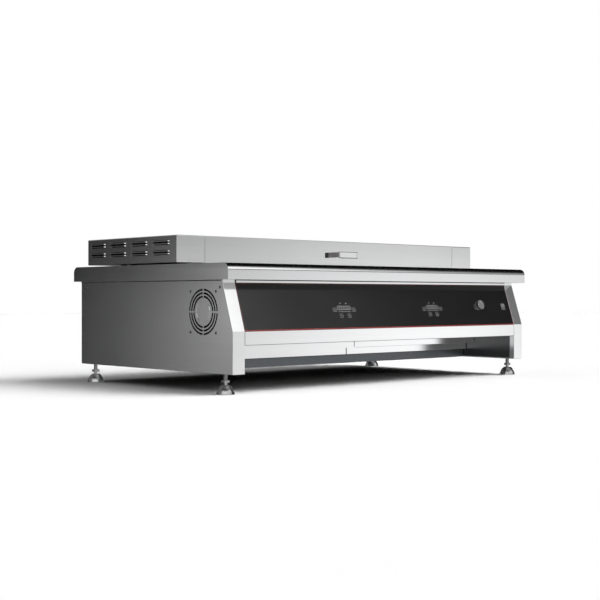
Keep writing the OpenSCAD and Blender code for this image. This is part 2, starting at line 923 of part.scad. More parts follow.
// A louvre is two bars pressed out of the sheet, open round them, with sloped ends
module louvre_bars() {
  bar_h = 3;
  slit = 1.5;
  bar_z = louvre_h / 2 - slit - bar_h;
  ramp = louvre_out + 0.5;
  for (z = [bar_z, -bar_z - bar_h]) translate([0, 0, z]) linear_extrude(bar_h) polygon([
    [0, 0], [-louvre_out, ramp], [-louvre_out, louvre_l - ramp], [0, louvre_l],
    [sheet, louvre_l], [sheet, louvre_l - 1], [sheet - louvre_out, louvre_l - ramp],
    [sheet - louvre_out, ramp], [sheet, 1], [sheet, 0]
  ]);
}

module end_block() {
  left = -box_l / 2;
  right = left + end_w;
  difference() {
    slab([left, box_front, box_z], [right, box_back, box_top]);
    slab([left + sheet, box_front + sheet, box_z + sheet],
         [right - sheet, box_back - sheet, box_top - sheet]);
    for (i = [0 : 3], z = louvre_rows)
      translate([left - cut, box_front + louvre_first + i * louvre_pitch, box_z + z - louvre_h / 2])
        cube([sheet + 2 * cut, louvre_l, louvre_h]);
    translate([right - sheet - cut, pivot_y, pivot_z]) rotate([0, 90, 0])
      cylinder(r = pin_r + press, h = sheet + 2 * cut);
  }
  for (i = [0 : 3], z = louvre_rows)
    translate([left, box_front + louvre_first + i * louvre_pitch, box_z + z]) louvre_bars();
}

module end_block_left() { color(steel) end_block(); }

module end_block_right() { color(steel) rightward(true) end_block(); }

module housing_spacers() {
  r = 8;
  in = [30, 140];
  ys = [box_front + in.y, box_back - in.y];
  color(black) for (side = [-1, 1], x = [in.x, end_w - in.x], y = ys)
    translate([side * (box_l / 2 - x), y, top_z]) cylinder(r = r, h = box_gap);
}

module hinge_pins() {
  head_r = 6;
  head_t = 3;
  inner_wall = box_l / 2 - end_w;
  color(steel) for (right = [false, true]) rightward(right)
    translate([-inner_wall - sheet - head_t, pivot_y, pivot_z]) rotate([0, 90, 0]) {
      cylinder(r = pin_r, h = head_t + sheet + bush_l);
      cylinder(r = head_r, h = head_t);
    }
}

module hinge_bushes() {
  color([0.72, 0.55, 0.28]) for (right = [false, true]) rightward(right)
    translate([-cover_x, pivot_y, pivot_z]) rotate([0, 90, 0]) difference() {
      cylinder(r = bush_r, h = bush_l);
      translate([0, 0, -cut]) cylinder(r = pin_r + running, h = bush_l + 2 * cut);
    }
}

handle_up = 31;
handle_z = box_z + handle_up;
handle_screw_l = 13;
handle_hole_xs = [handle_x - (handle_w - handle_t) / 2, handle_x + (handle_w - handle_t) / 2];

module cover() {
  flange = 16;
  color(steel) difference() {
    union() {
      difference() {
        slab([-cover_x, box_front, box_z], [cover_x, box_back, box_top]);
        slab([-cover_x + sheet, box_front + sheet, box_z - cut],
             [cover_x - sheet, box_back - sheet, box_top - sheet]);
      }
      slab([-cover_x, box_front, box_z], [cover_x, box_front + flange, box_z + sheet]);
    }
    for (x = [-cover_x - cut, cover_x - sheet - cut]) translate([x, pivot_y, pivot_z])
      rotate([0, 90, 0]) cylinder(r = bush_r + press, h = sheet + 2 * cut);
    for (x = handle_hole_xs) translate([x, box_front + sheet + cut, handle_z])
      rotate([90, 0, 0]) cylinder(r = screw_r + press, h = sheet + 2 * cut);
  }
}

wool_t = 12;
wool_edge = 20;

module cover_insulation() {
  color([0.86, 0.83, 0.72])
    slab([-cover_x + wool_edge, box_front + wool_edge, box_top - sheet - wool_t],
         [cover_x - wool_edge, box_back - wool_edge, box_top - sheet]);
}

module cover_liner() {
  liner_t = 1;
  high = box_top - sheet - wool_t;
  color(steel)
    slab([-cover_x + sheet, box_front + sheet, high - liner_t],
         [cover_x - sheet, box_back - sheet, high]);
}

module cover_bumpers() {
  r = 6;
  in = 30;
  edge = 1;
  color(black) for (x = [-cover_x + in, cover_x - in])
    translate([x, box_front + r + edge, top_z + touch_gap])
      cylinder(r = r, h = box_gap - touch_gap);
}

module bent_bar(inset) {
  bend = 6;
  r = max(bend - inset, 1);
  w = handle_w - 2 * inset;
  translate([-w / 2, inset - handle_out + r]) square([w, handle_out + cut - r - inset]);
  translate([-w / 2 + r, inset - handle_out]) square([w - 2 * r, handle_out - inset]);
  for (x = [-w / 2 + r, w / 2 - r]) translate([x, inset - handle_out + r]) circle(r);
}

module handle() {
  color(steel) difference() {
    translate([handle_x, box_front, handle_z - handle_h / 2]) linear_extrude(handle_h)
      difference() {
        intersection() {
          bent_bar(0);
          translate([-handle_w, -2 * handle_out])
            square([2 * handle_w, 2 * handle_out - handle_block]);
        }
        bent_bar(handle_t);
      }
    for (x = handle_hole_xs) translate([x, box_front + cut, handle_z]) rotate([90, 0, 0])
      cylinder(r = screw_r + press, h = handle_block + handle_screw_l + cut + 1);
  }
}

// Two blocks keep the cover's heat from the handle
module handle_spacers() {
  color(black) for (x = handle_hole_xs) difference() {
    slab([x - handle_t / 2, box_front - handle_block, handle_z - handle_h / 2],
         [x + handle_t / 2, box_front, handle_z + handle_h / 2]);
    translate([x, box_front + cut, handle_z]) rotate([90, 0, 0])
      cylinder(r = screw_r + press, h = handle_block + 2 * cut);
  }
}

module handle_screws() {
  head_t = 2;
  color(steel) for (x = handle_hole_xs) translate([x, box_front + sheet, handle_z])
    rotate([90, 0, 0]) {
      cylinder(r = screw_r, h = sheet + handle_block + handle_screw_l);
      translate([0, 0, -head_t]) cylinder(r = screw_head_r, h = head_t);
    }
}

// A pan-head screw along -Z of its local frame, with its head on top
module pan_screw(length) {
  translate([0, 0, -length]) cylinder(r = screw_r, h = length);
  rotate_extrude() polygon([
    [0, 0], [screw_head_r, 0], [screw_head_r, 0.8], [screw_head_r * 0.7, 1.6], [0, 1.8]
  ]);
}

fan_screw_l = 14;
panel_screw_l = 8;

module fan_screws() {
  color(steel) for (right = [false, true]) rightward(right) at_fan() four_corners(fan_pitch)
    translate([0, 0, -sheet]) rotate([180, 0, 0]) pan_screw(fan_screw_l);
}

module panel_screws() {
  color(steel) {
    for (right = [false, true], y = panel_screw_ys) rightward(right)
      translate([-side_x, y, panel_screw_z]) rotate([0, -90, 0]) pan_screw(panel_screw_l);
    for (x = back_screw_xs, z = back_screw_zs) translate([x, body_back, z]) rotate([-90, 0, 0])
      pan_screw(panel_screw_l);
  }
}

// Feet

module foot_sockets() {
  low = hex_z + hex_h + touch_gap;
  color(steel) for (x = [-foot_x, foot_x], y = [foot_front_y, foot_back_y])
    translate([x, y, low]) difference() {
      cylinder(r = socket_r, h = base_z + socket_up - low);
      translate([0, 0, -cut]) cylinder(r = stem_r + running, h = base_z + 2 * socket_up);
    }
}

module foot(x, y) {
  rim_h = 2;
  low = [foot_r * 0.92, 8];
  middle = [foot_r * 0.81, 13.5];
  high = [foot_r * 0.7, 18];
  shoulder = [foot_r * 0.58, 21];
  crown = [foot_r * 0.42, 23];
  collar = [stem_r + 0.5, 23.7];
  turn = 10;
  color(dark_steel) translate([x, y, 0]) {
    rotate_extrude() polygon([
      [0, 0], [foot_r, 0], [foot_r, rim_h], low, middle, high, shoulder, crown, collar,
      [collar.x, hex_z], [0, hex_z]
    ]);
    translate([0, 0, hex_z]) rotate(turn)
      cylinder(r = hex_flats / sqrt(3), h = hex_h, $fn = 6);
    translate([0, 0, hex_z + hex_h]) cylinder(r = stem_r, h = stem_top - hex_z - hex_h);
  }
}

module foot_front_left() { foot(-foot_x, foot_front_y); }

module foot_front_right() { foot(foot_x, foot_front_y); }

module foot_back_left() { foot(-foot_x, foot_back_y); }

module foot_back_right() { foot(foot_x, foot_back_y); }

worktop();
side_panel_left();
side_panel_right();
back_panel();
base_panel();
front_rail();
compartment_floor();
divider_panel();
panel_frame();
control_glass();
panel_trim();
touch_board_left();
touch_board_right();
knob();
knob_cap();
knob_shaft();
rotary_switch();
rocker();
rocker_housing();
control_board();
contactors();
terminal_block();
cable_gland();
fan_frame_left();
fan_frame_right();
impeller_left();
impeller_right();
well_pan_left();
well_pan_right();
well_insulation_left();
well_insulation_right();
heater_left();
heater_right();
probe_left();
probe_right();
grid_left();
grid_right();
drip_tray_left();
drip_tray_right();
tray_runners();
end_block_left();
end_block_right();
housing_spacers();
hinge_pins();
hinge_bushes();
cover();
cover_insulation();
cover_liner();
cover_bumpers();
handle();
handle_spacers();
handle_screws();
fan_screws();
panel_screws();
foot_sockets();
foot_front_left();
foot_front_right();
foot_back_left();
foot_back_right();
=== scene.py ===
# %% [markdown]
# # Finishing a counter-top electric grill
# The solids of this grill come ready made: a long stainless cabinet on four levelling feet, a
# sloped touch panel, two drip trays and a housing with a hinged cover. This lesson gives them
# their finishes. Each step says what a piece is on the real machine, how it could be made and
# why it is made this way. Lengths are in metres, in the frame that the solids already use.

# %% Load the fixed frame
import json
import math

import bmesh
import bpy
from mathutils import Matrix, Vector

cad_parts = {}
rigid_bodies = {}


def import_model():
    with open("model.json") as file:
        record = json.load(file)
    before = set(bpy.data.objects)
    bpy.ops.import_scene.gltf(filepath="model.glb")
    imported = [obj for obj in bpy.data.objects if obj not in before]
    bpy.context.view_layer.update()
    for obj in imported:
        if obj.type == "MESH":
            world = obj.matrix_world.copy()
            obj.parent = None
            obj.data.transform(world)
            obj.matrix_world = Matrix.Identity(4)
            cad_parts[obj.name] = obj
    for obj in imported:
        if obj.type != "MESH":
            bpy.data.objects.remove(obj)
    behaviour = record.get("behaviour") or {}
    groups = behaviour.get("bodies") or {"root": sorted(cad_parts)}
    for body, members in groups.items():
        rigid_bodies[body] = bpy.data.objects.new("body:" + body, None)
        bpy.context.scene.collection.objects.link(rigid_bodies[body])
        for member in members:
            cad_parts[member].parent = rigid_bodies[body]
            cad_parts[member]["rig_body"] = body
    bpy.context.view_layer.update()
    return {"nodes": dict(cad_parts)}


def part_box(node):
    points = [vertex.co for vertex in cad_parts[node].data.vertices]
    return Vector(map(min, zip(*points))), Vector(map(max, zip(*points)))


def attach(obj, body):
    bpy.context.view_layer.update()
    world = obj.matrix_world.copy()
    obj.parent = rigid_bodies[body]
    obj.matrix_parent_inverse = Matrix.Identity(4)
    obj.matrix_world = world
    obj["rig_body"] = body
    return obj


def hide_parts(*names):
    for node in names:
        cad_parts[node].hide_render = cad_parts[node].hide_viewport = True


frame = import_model()
nodes = frame["nodes"]
scene = bpy.context.scene
mm = 0.001

# %% [markdown]
# ## The camera
# The picture was taken from a level camera, a little lower than the worktop and off the front
# left corner. A level camera keeps upright edges upright, so the framing comes from a small
# vertical shift and not from a tilt.

# %% Place the camera
PICTURE_W = 600
FOCAL_PX = 1183
HORIZON_PX = 296.3
SENSOR = 36
EYE = Vector((-2.4386, -2.6238, 0.2463))
LOOK = Vector((0.675, 0.7379, 0))

camera = bpy.data.objects.new("camera", bpy.data.cameras.new("camera"))
camera.data.sensor_width = SENSOR
camera.data.lens = SENSOR * FOCAL_PX / PICTURE_W
camera.data.shift_y = HORIZON_PX / PICTURE_W - 0.5
camera.location = EYE
camera.rotation_euler = LOOK.to_track_quat("-Z", "Y").to_euler()
scene.collection.objects.link(camera)
scene.camera = camera
print("lens", round(camera.data.lens, 2), "mm")

# %% [markdown]
# ## Sums on wires
# A material is a graph, and its sums are easier to read as sums. A Wire holds one output of a
# node, and the usual signs on wires add Math nodes. Its one node method adds any other node:
# first the settings, then what goes into the sockets. Geometry trees use the same class.


# %% A class for the outputs of nodes
class Wire:
    """One output of a node, or with no socket just a place to start a tree from."""

    def __init__(self, tree, socket=None):
        self.tree = tree
        self.socket = socket

    def node(self, kind, sockets=None, out=0, **settings):
        made = self.tree.nodes.new(kind)
        for name, value in settings.items():
            if name == "stops":
                lay_stops(made.color_ramp, value)
            else:
                setattr(made, name, value)
        for key, value in (sockets or {}).items():
            if isinstance(value, Wire):
                self.tree.links.new(value.socket, made.inputs[key])
            else:
                made.inputs[key].default_value = value
        return Wire(self.tree, made.outputs[out]) if len(made.outputs) else made

    def other(self, out):
        return Wire(self.tree, self.socket.node.outputs[out])

    def math(self, operation, *values):
        return self.node("ShaderNodeMath", dict(enumerate(values)), operation=operation)

    def __add__(self, value):
        return self.math("ADD", self, value)

    def __radd__(self, value):
        return self.math("ADD", value, self)

    def __sub__(self, value):
        return self.math("SUBTRACT", self, value)

    def __rsub__(self, value):
        return self.math("SUBTRACT", value, self)

    def __mul__(self, value):
        return self.math("MULTIPLY", self, value)

    def __rmul__(self, value):
        return self.math("MULTIPLY", value, self)

    def __neg__(self):
        return self.math("MULTIPLY", -1, self)

    def __truediv__(self, value):
        return self.math("DIVIDE", self, value)

    def ease(self, start, end):
        """0 before start, 1 after end, and a soft step between them."""
        sockets = {"Value": self, "From Min": start, "From Max": end}
        return self.node("ShaderNodeMapRange", sockets, interpolation_type="SMOOTHSTEP")

    def tint(self, first, second):
        """A colour between two, with this wire as the share of the second."""
        return self.node("ShaderNodeMix", {0: self, 6: first, 7: second}, 2, data_type="RGBA")


def lay_stops(ramp, stops):
    while len(ramp.elements) < len(stops):
        ramp.elements.new(1)
    for element, (place, colour) in zip(ramp.elements, stops):
        element.position = place
        element.color = colour


print("wires ready")

# %% [markdown]
# ## The studio
# Sheet steel shows nothing but its surroundings, so the studio is drawn as a world: light paper
# in front, one long soft box over it, a white card at the left, a black drape to the right, a
# dark corner behind to the left with one pale strip in it, and a grey sky overhead and behind.
# What steel mirrors and what lights the floor are kept apart by the kind of ray, so that the
# floor can be white paper without whitening the steel. The floor is lit by a high soft glow and a
# low one from the front right and a weaker one from the back left, and under the cabinet it stays
# dark. Lamps could do it, but a world has no hot spots and lights the floor to the horizon.

# %% Start the studio world
deg = math.radians

world = bpy.data.worlds.new("studio")
scene.world = world
world.use_nodes = True
world.cycles.sampling_method = "NONE"
world.node_tree.nodes.clear()
pen = Wire(world.node_tree)

heading = pen.node("ShaderNodeTexCoord")
apart = pen.node("ShaderNodeSeparateXYZ", {0: heading})
turn = pen.math("ARCTAN2", apart, -apart.other("Y"))
rise = pen.math("ARCSINE", apart.other("Z"))

# Degrees to the right of the front: where each thing begins, and from where it shows in full.
HEADINGS = {
    "corner": (-149, -134), "corner_end": (-140, -137),
    "strip": (-141.4, -139.8), "strip_end": (-139, -136),
    "left_wall": (-118, -70), "front": (-110, -60), "front_end": (62, 110), "far_end": (140, 180),
    "bright_paper": (37, 50), "bright_paper_end": (50, 55),
    "card": (-80, -72), "card_end": (-58, -50),
    "bright_wall": (36, 46), "bright_wall_end": (46.5, 52),
    "drape": (53.5, 64.5), "drape_end": (144, 160),
    "box": (-110, -70), "box_dims": (44.5, 48.5), "box_end": (48.5, 55),
}
# Degrees over the horizon, in the same way.
HEIGHTS = {
    "strip_foot": (-3, -1), "horizon": (-1, 1), "wall_dims": (3, 4.5), "drape_foot": (5, 9),
    "sky_foot": (6, 12), "box_foot": (10, 14), "roof": (42, 46),
}
past = {name: turn.ease(deg(low), deg(full)) for name, (low, full) in HEADINGS.items()}
over = {name: rise.ease(deg(low), deg(full)) for name, (low, full) in HEIGHTS.items()}
print("studio starts with", len(past), "headings and", len(over), "heights")

# %% [markdown]
# ### What steel mirrors
# The walls, the paper and the soft box are sums of those steps. Plain numbers in the sums are
# shares of white. The paper lies under the horizon and the walls stand over it, and the line
# between them is a little lower at the front.

# %% Draw what steel mirrors
DIM = 0.03
ROOF = 0.004
SKY = 0.26
STUDIO = 0.72
SOFT_BOX = 1.3
NEAR_PAPER = (deg(8), deg(24))

corner = 0.7 * past["corner"] - 0.55 * past["corner_end"]
pale_strip = 0.55 * past["strip"] * (1 - past["strip_end"]) * over["strip_foot"]
left_side = DIM + corner + pale_strip + 0.82 * past["left_wall"]
right_side = 1 - 0.5 * past["front_end"] - 0.47 * past["far_end"]
around = left_side * right_side
front = past["front"] * (1 - past["front_end"])

paper = 1.09 + 0.67 * past["bright_paper"] - 0.6 * past["bright_paper_end"]
under = around * paper * (1 - 0.25 * (-rise).ease(*NEAR_PAPER))
card = past["card"] - past["card_end"]
wall = 0.67 + card + 0.38 * past["bright_wall"] - 0.18 * past["bright_wall_end"]
upright = front * around * wall + (1 - front) * (0.01 + 0.33 * around)
upright = upright * (1 - 0.58 * front * over["wall_dims"])
wall_share = rise.ease(deg(-0.5) - deg(0.9) * front, deg(3) - deg(0.6) * front)
level = under * (1 - wall_share) + upright * wall_share

drape = past["drape"] * (1 - past["drape_end"]) * over["drape_foot"]
walls = STUDIO * level * (1 - over["roof"]) * (1 - 0.97 * drape)
box_right = 0.58 * past["box_dims"] + 0.42 * past["box_end"]
soft_box = over["box_foot"] * (1 - over["roof"]) * past["box"] * (1 - box_right)

right_hand = apart.ease(0.25, 0.4)
behind = apart.other("Y").ease(0.1, 0.4)
overhead = apart.other("Z").ease(0.8, 0.92)
sky = SKY * (1 - right_hand) * pen.math("MAXIMUM", behind, overhead) * over["sky_foot"]
mirrored = walls * (1 - soft_box) + SOFT_BOX * soft_box + ROOF * over["roof"] + sky
print("walls, soft box and sky drawn")

# %% [markdown]
# ### What lights the floor
# Each glow is round and soft about one direction. The camera sees plain white, a mirror's ray
# sees the walls, and every other ray sees the glows.

# %% Light the floor and send each ray its share
GLOWS = {
    "high": {"strength": 13.1, "turn_to": deg(40), "rise_to": deg(48), "tightness": 20.0},
    "low": {"strength": 1.3, "turn_to": deg(30), "rise_to": deg(12), "tightness": 20.0},
    "fill": {"strength": 0.8, "turn_to": deg(-120), "rise_to": deg(48), "tightness": 6.0},
}


def glow(strength, turn_to, rise_to, tightness):
    """A soft round glow about one direction of the sky."""
    level_way = Vector((math.sin(turn_to), -math.cos(turn_to), 0)) * math.cos(rise_to)
    source = level_way + Vector((0, 0, math.sin(rise_to)))
    facing = pen.node("ShaderNodeVectorMath", {0: heading, 1: source}, "Value",
                      operation="DOT_PRODUCT")
    return strength * pen.math("POWER", pen.math("MAXIMUM", facing, 0.0), tightness)


high, low, fill = (glow(**values) for values in GLOWS.values())
lighting = over["horizon"] * (high + low + fill)

rays = pen.node("ShaderNodeLightPath", out="Is Glossy Ray")
seen = rays.other("Is Camera Ray")
mirror = rays * pen.math("LESS_THAN", rays.other("Diffuse Depth"), 0.5)
shown = mirrored * mirror + seen + lighting * (1 - mirror - seen)
light = pen.node("ShaderNodeBackground", {"Color": (1, 1, 1, 1), "Strength": shown})
pen.node("ShaderNodeOutputWorld", {"Surface": light})
scene.view_settings.view_transform = "Standard"
print("studio of", len(world.node_tree.nodes), "nodes")

# %% [markdown]
# ## Finishes
# Every finish starts the same way, so one function makes the material and hands back its shader
# and a pen. Noise on stretched coordinates gives the long lines of brushed steel, the same noise
# unstretched gives the grain of moulded plastic, and cells give the spangle of zinc.


# %% Helpers for finishes
def new_finish(name, **constants):
    """A material, its shader with the constant sockets set, and a pen for its tree."""
    material = bpy.data.materials.new(name)
    material.use_nodes = True
    shader = material.node_tree.nodes["Principled BSDF"]
    for socket, value in constants.items():
        shader.inputs[socket.replace("_", " ")].default_value = value
    return material, shader, Wire(material.node_tree)


def feed(shader, **wires):
    """Links wires to the shader's sockets."""
    for socket, wire in wires.items():
        wire.tree.links.new(wire.socket, shader.inputs[socket.replace("_", " ")])


def in_place(pen):
    """Where a point of the piece is, in metres."""
    return pen.node("ShaderNodeTexCoord", out="Object")


def stretched(place, scale):
    return place.node("ShaderNodeMapping", {"Vector": place, "Scale": scale})


def noise(place, scale=1.0, detail=3.0, roughness=0.55):
    sockets = {"Vector": place, "Scale": scale, "Detail": detail, "Roughness": roughness}
    return place.node("ShaderNodeTexNoise", sockets)


def bump(height, depth, strength):
    sockets = {"Height": height, "Distance": depth, "Strength": strength}
    return height.node("ShaderNodeBump", sockets)


def grey(value, blue=0.0):
    """A grey, leaning to blue by a share, or to yellow by a negative one."""
    return (value * (1 - blue), value, value * (1 + blue), 1)


print("finish helpers ready")

# %% [markdown]
# ### Brushed stainless steel
# The sheets are brushed lengthways and then wiped, so fine lines, wider bands and faint clouds
# lie over each other. The lines follow the sheet, not the room, so each piece of sheet has a
# flat map laid along its grain, and the finish reads that map. Bent and cut edges are rubbed
# bright by use. Edges that look down, the inside of the vented blocks, the handle's sides and
# the worktop's underside get painted shade: a dark brown where shade falls. Flat tops are
# scoured every day, and countless fine scratches scatter light like a dull paint. The pieces
# mark those faces, and the finish polishes, darkens with painted shade or dulls them.

# %% Brushed steel
GRAIN = "grain"
RUBBED = "rubbed"
# Faces with this mark get painted shade: a dark brown where shade falls.
PAINTED_SHADE = "soot"
SCOURED = "scoured"
# The dark brown of painted shade.
SHADE_BROWN = (0.035, 0.022, 0.016, 1)


def brushed_steel(name, tone, rough):
    material, shader, pen = new_finish(name)
    sheet = pen.node("ShaderNodeUVMap", uv_map=GRAIN)
    lines = noise(stretched(sheet, (14, 3200, 1)), detail=4)
    bands = noise(stretched(sheet, (1.6, 70, 1)), detail=2)
    clouds = noise(in_place(pen), scale=5, detail=4)
    rubbed = pen.node("ShaderNodeAttribute", out="Fac", attribute_name=RUBBED)
    soot = pen.node("ShaderNodeAttribute", out="Fac", attribute_name=PAINTED_SHADE)
    scoured = pen.node("ShaderNodeAttribute", out="Fac", attribute_name=SCOURED)
    shade = lines * 0.5 + bands * 0.2 + clouds * 0.3
    colour = shade.ease(0.3, 0.7).tint(grey(tone * 0.95), grey(tone * 1.03, 0.01))
    worn = (rubbed * 0.4).tint(colour, grey(0.92))
    # Faces with the shade mark are tinted dark brown as painted shade.
    feed(shader, Base_Color=soot.tint(worn, SHADE_BROWN))
    gloss = rough + 0.06 * (lines - 0.5) + 0.05 * (clouds - 0.5) - 0.03 * rubbed
    feed(shader, Roughness=gloss + 0.5 * soot + 0.15 * scoured)
    feed(shader, Metallic=1 - 0.3 * scoured)
    feed(shader, Normal=bump(lines * 0.8 + bands * 0.2, depth=0.02 * mm, strength=0.3))
    return material


steel = brushed_steel("brushed_stainless", tone=0.86, rough=0.15)
bright_steel = brushed_steel("polished_stainless", tone=0.92, rough=0.09)
# A darkened copy of the brushed steel: painted shade for the runners' wall deep in the toe recess.
shade_darkened_steel = brushed_steel("shade_darkened_stainless", tone=0.13, rough=0.2)
print("made", steel.name, bright_steel.name, shade_darkened_steel.name)

# %% [markdown]
# ### Zinc, glass, paint and plastic
# Inside, the plates are zinc-coated, with the flat crystals that zinc grows. The panel is black
# glass: nearly no colour of its own, a sharp gloss and a few wiped smears. The border is thinly
# painted red, and above its foot it is painted dark brown as shade from the worktop. Moulded
# plastic has a fine even grain from its mould.


# %% Zinc, glass, paint and plastic
def zinc(name, tone, rough):
    material, shader, pen = new_finish(name, Metallic=1.0)
    place = in_place(pen)
    crystals = pen.node("ShaderNodeTexVoronoi", {"Vector": place, "Scale": 90.0}, "Color")
    each = pen.node("ShaderNodeSeparateColor", {0: crystals})
    dust = noise(place, scale=12, detail=5)
    shade = each * 0.6 + dust * 0.4
    feed(shader, Base_Color=shade.tint(grey(tone * 0.75, 0.06), grey(tone, 0.08)))
    feed(shader, Roughness=rough + 0.12 * (each - 0.5) + 0.1 * (dust - 0.5))
    feed(shader, Normal=bump(dust, depth=0.05 * mm, strength=0.3))
    return material


def black_glass(name):
    material, shader, pen = new_finish(name, IOR=1.5, Specular_IOR_Level=0.42)
    place = in_place(pen)
    smears = noise(stretched(place, (3, 3, 14)), detail=4)
    specks = noise(place, scale=900, detail=1)
    feed(shader, Base_Color=specks.ease(0.66, 0.8).tint(grey(0.003), grey(0.009)))
    feed(shader, Roughness=0.05 + 0.09 * smears.ease(0.45, 0.75))
    return material


def paint(name, colour, darker, shaded_sides, foot):
    material, shader, pen = new_finish(name, Coat_Weight=0.3, Coat_Roughness=0.12)
    place = in_place(pen)
    flow = noise(place, scale=40, detail=3)
    height = pen.node("ShaderNodeSeparateXYZ", {0: place}, "Z")
    # Above the foot the border gets painted shade: dark brown for the sides and top under the
    # worktop.
    in_shade = height.ease(foot, foot + 2 * mm)
    feed(shader, Base_Color=in_shade.tint(flow.tint(darker, colour), shaded_sides))
    feed(shader, Roughness=0.3 + 0.15 * flow)
    waves = noise(place, scale=600, detail=2)
    feed(shader, Normal=bump(waves, depth=0.03 * mm, strength=0.3))
    return material


def moulded(name, tone, rough, warm=0.0, grain=1800):
    material, shader, pen = new_finish(name)
    place = in_place(pen)
    pores = noise(place, scale=grain, detail=2)
    clouds = noise(place, scale=18, detail=3)
    feed(shader, Base_Color=clouds.tint(grey(tone * 0.8, -warm), grey(tone * 1.15, -warm)))
    feed(shader, Roughness=rough + 0.15 * (pores - 0.5))
    feed(shader, Normal=bump(pores, depth=0.06 * mm, strength=0.4))
    return material


dark_zinc = zinc("zinc_plate", tone=0.25, rough=0.38)
base_zinc = zinc("base_zinc_plate", tone=0.175, rough=0.38)
glass = black_glass("panel_glass")
# The dark brown of the sides and top is painted shade.
red_paint = paint("red_border", colour=(0.30, 0.016, 0.011, 1), darker=(0.20, 0.010, 0.007, 1),
                  shaded_sides=(0.070, 0.016, 0.011, 1), foot=161.5 * mm)
black_plastic = moulded("black_plastic", tone=0.014, rough=0.42)
knob_plastic = moulded("knob_plastic", tone=0.035, rough=0.2)
skirt_plastic = moulded("skirt_plastic", tone=0.34, rough=0.35)
# Near-black bars that stand in for shade lines: painted shade.
shade_bar_finish = moulded("rim_seal", tone=0.05, rough=0.6, grain=900)
grey_plastic = moulded("grey_plastic", tone=0.17, rough=0.38)
rubber = moulded("rubber", tone=0.016, rough=0.75, grain=900)
white_plastic = moulded("terminal_plastic", tone=0.62, rough=0.4, warm=0.06)
ink = moulded("panel_print", tone=0.46, rough=0.55, grain=2600)
print("made", len(bpy.data.materials), "materials so far")

# %% [markdown]
# ### Plated, cast, heated and fibrous things
# The feet, pins and screws are plated and shine. The grids are seasoned iron, brown where fat
# has burnt in. The heating tubes carry the straw and blue colours of heat. Wool is felted
# fibre, boards are green with paler tracks, and the bushes are bronze.


# %% Plated, cast, heated and fibrous finishes
def plated(name, dark, bright, rough):
    material, shader, pen = new_finish(name, Metallic=1.0)
    place = in_place(pen)
    turned = noise(stretched(place, (60, 60, 2400)), detail=2)
    stains = noise(place, scale=60, detail=4)
    feed(shader, Base_Color=(stains * 0.7 + turned * 0.3).ease(0.25, 0.7).tint(dark, bright))
    feed(shader, Roughness=rough + 0.06 * (turned - 0.5) + 0.08 * stains.ease(0.55, 0.8))
    feed(shader, Normal=bump(turned, depth=0.02 * mm, strength=0.3))
    return material


def seasoned_iron(name):
    material, shader, pen = new_finish(name)
    place = in_place(pen)
    burnt = noise(place, scale=45, detail=5)
    pits = noise(place, scale=700, detail=3)
    feed(shader, Base_Color=burnt.ease(0.4, 0.7).tint(grey(0.012), (0.035, 0.024, 0.017, 1)))
    feed(shader, Roughness=0.38 + 0.3 * (burnt - 0.5))
    feed(shader, Metallic=0.3 + 0.4 * pits)
    feed(shader, Normal=bump(pits, depth=0.2 * mm, strength=0.5))
    return material


def heated_tube(name):
    material, shader, pen = new_finish(name, Metallic=1.0)
    heat = noise(stretched(in_place(pen), (9, 5, 9)), detail=3)
    colours = [(0.3, (0.10, 0.085, 0.08, 1)), (0.48, (0.22, 0.13, 0.07, 1)),
               (0.62, (0.12, 0.10, 0.16, 1)), (0.8, (0.18, 0.17, 0.16, 1))]
    feed(shader, Base_Color=pen.node("ShaderNodeValToRGB", {"Fac": heat}, stops=colours))
    feed(shader, Roughness=0.32 + 0.2 * heat)
    return material


def felted_wool(name):
    material, shader, pen = new_finish(name, Roughness=0.95)
    place = in_place(pen)
    fibres = noise(stretched(place, (60, 900, 900)), detail=5, roughness=0.7)
    dark, pale = (0.36, 0.31, 0.19, 1), (0.62, 0.56, 0.40, 1)
    feed(shader, Base_Color=fibres.ease(0.3, 0.7).tint(dark, pale))
    feed(shader, Normal=bump(fibres, depth=1.2 * mm, strength=0.8))
    return material


def circuit_green(name):
    material, shader, pen = new_finish(name)
    place = in_place(pen)
    sockets = {"Vector": place, "Scale": 160.0, "Mortar Size": 0.09}
    grid = pen.node("ShaderNodeTexBrick", sockets, "Fac")
    tracks = grid * noise(place, scale=70, detail=1).ease(0.45, 0.55)
    feed(shader, Base_Color=tracks.tint((0.006, 0.045, 0.020, 1), (0.05, 0.17, 0.06, 1)))
    feed(shader, Roughness=0.3 + 0.25 * (1 - tracks))
    return material


foot_plate = plated("plated_steel", grey(0.30), grey(0.48), rough=0.2)
blackened = plated("blackened_steel", grey(0.14), grey(0.30), rough=0.28)
bronze = plated("bush_bronze", (0.42, 0.25, 0.09, 1), (0.62, 0.40, 0.17, 1), rough=0.25)
iron = seasoned_iron("seasoned_iron")
tube = heated_tube("heated_tube")
wool = felted_wool("mineral_wool")
board = circuit_green("circuit_board")
print("made", len(bpy.data.materials), "materials")

# %% [markdown]
# ## Inner pieces
# The pieces inside the cabinet keep their solid shape. Each gets its finish in place of the
# plain colour it came with.

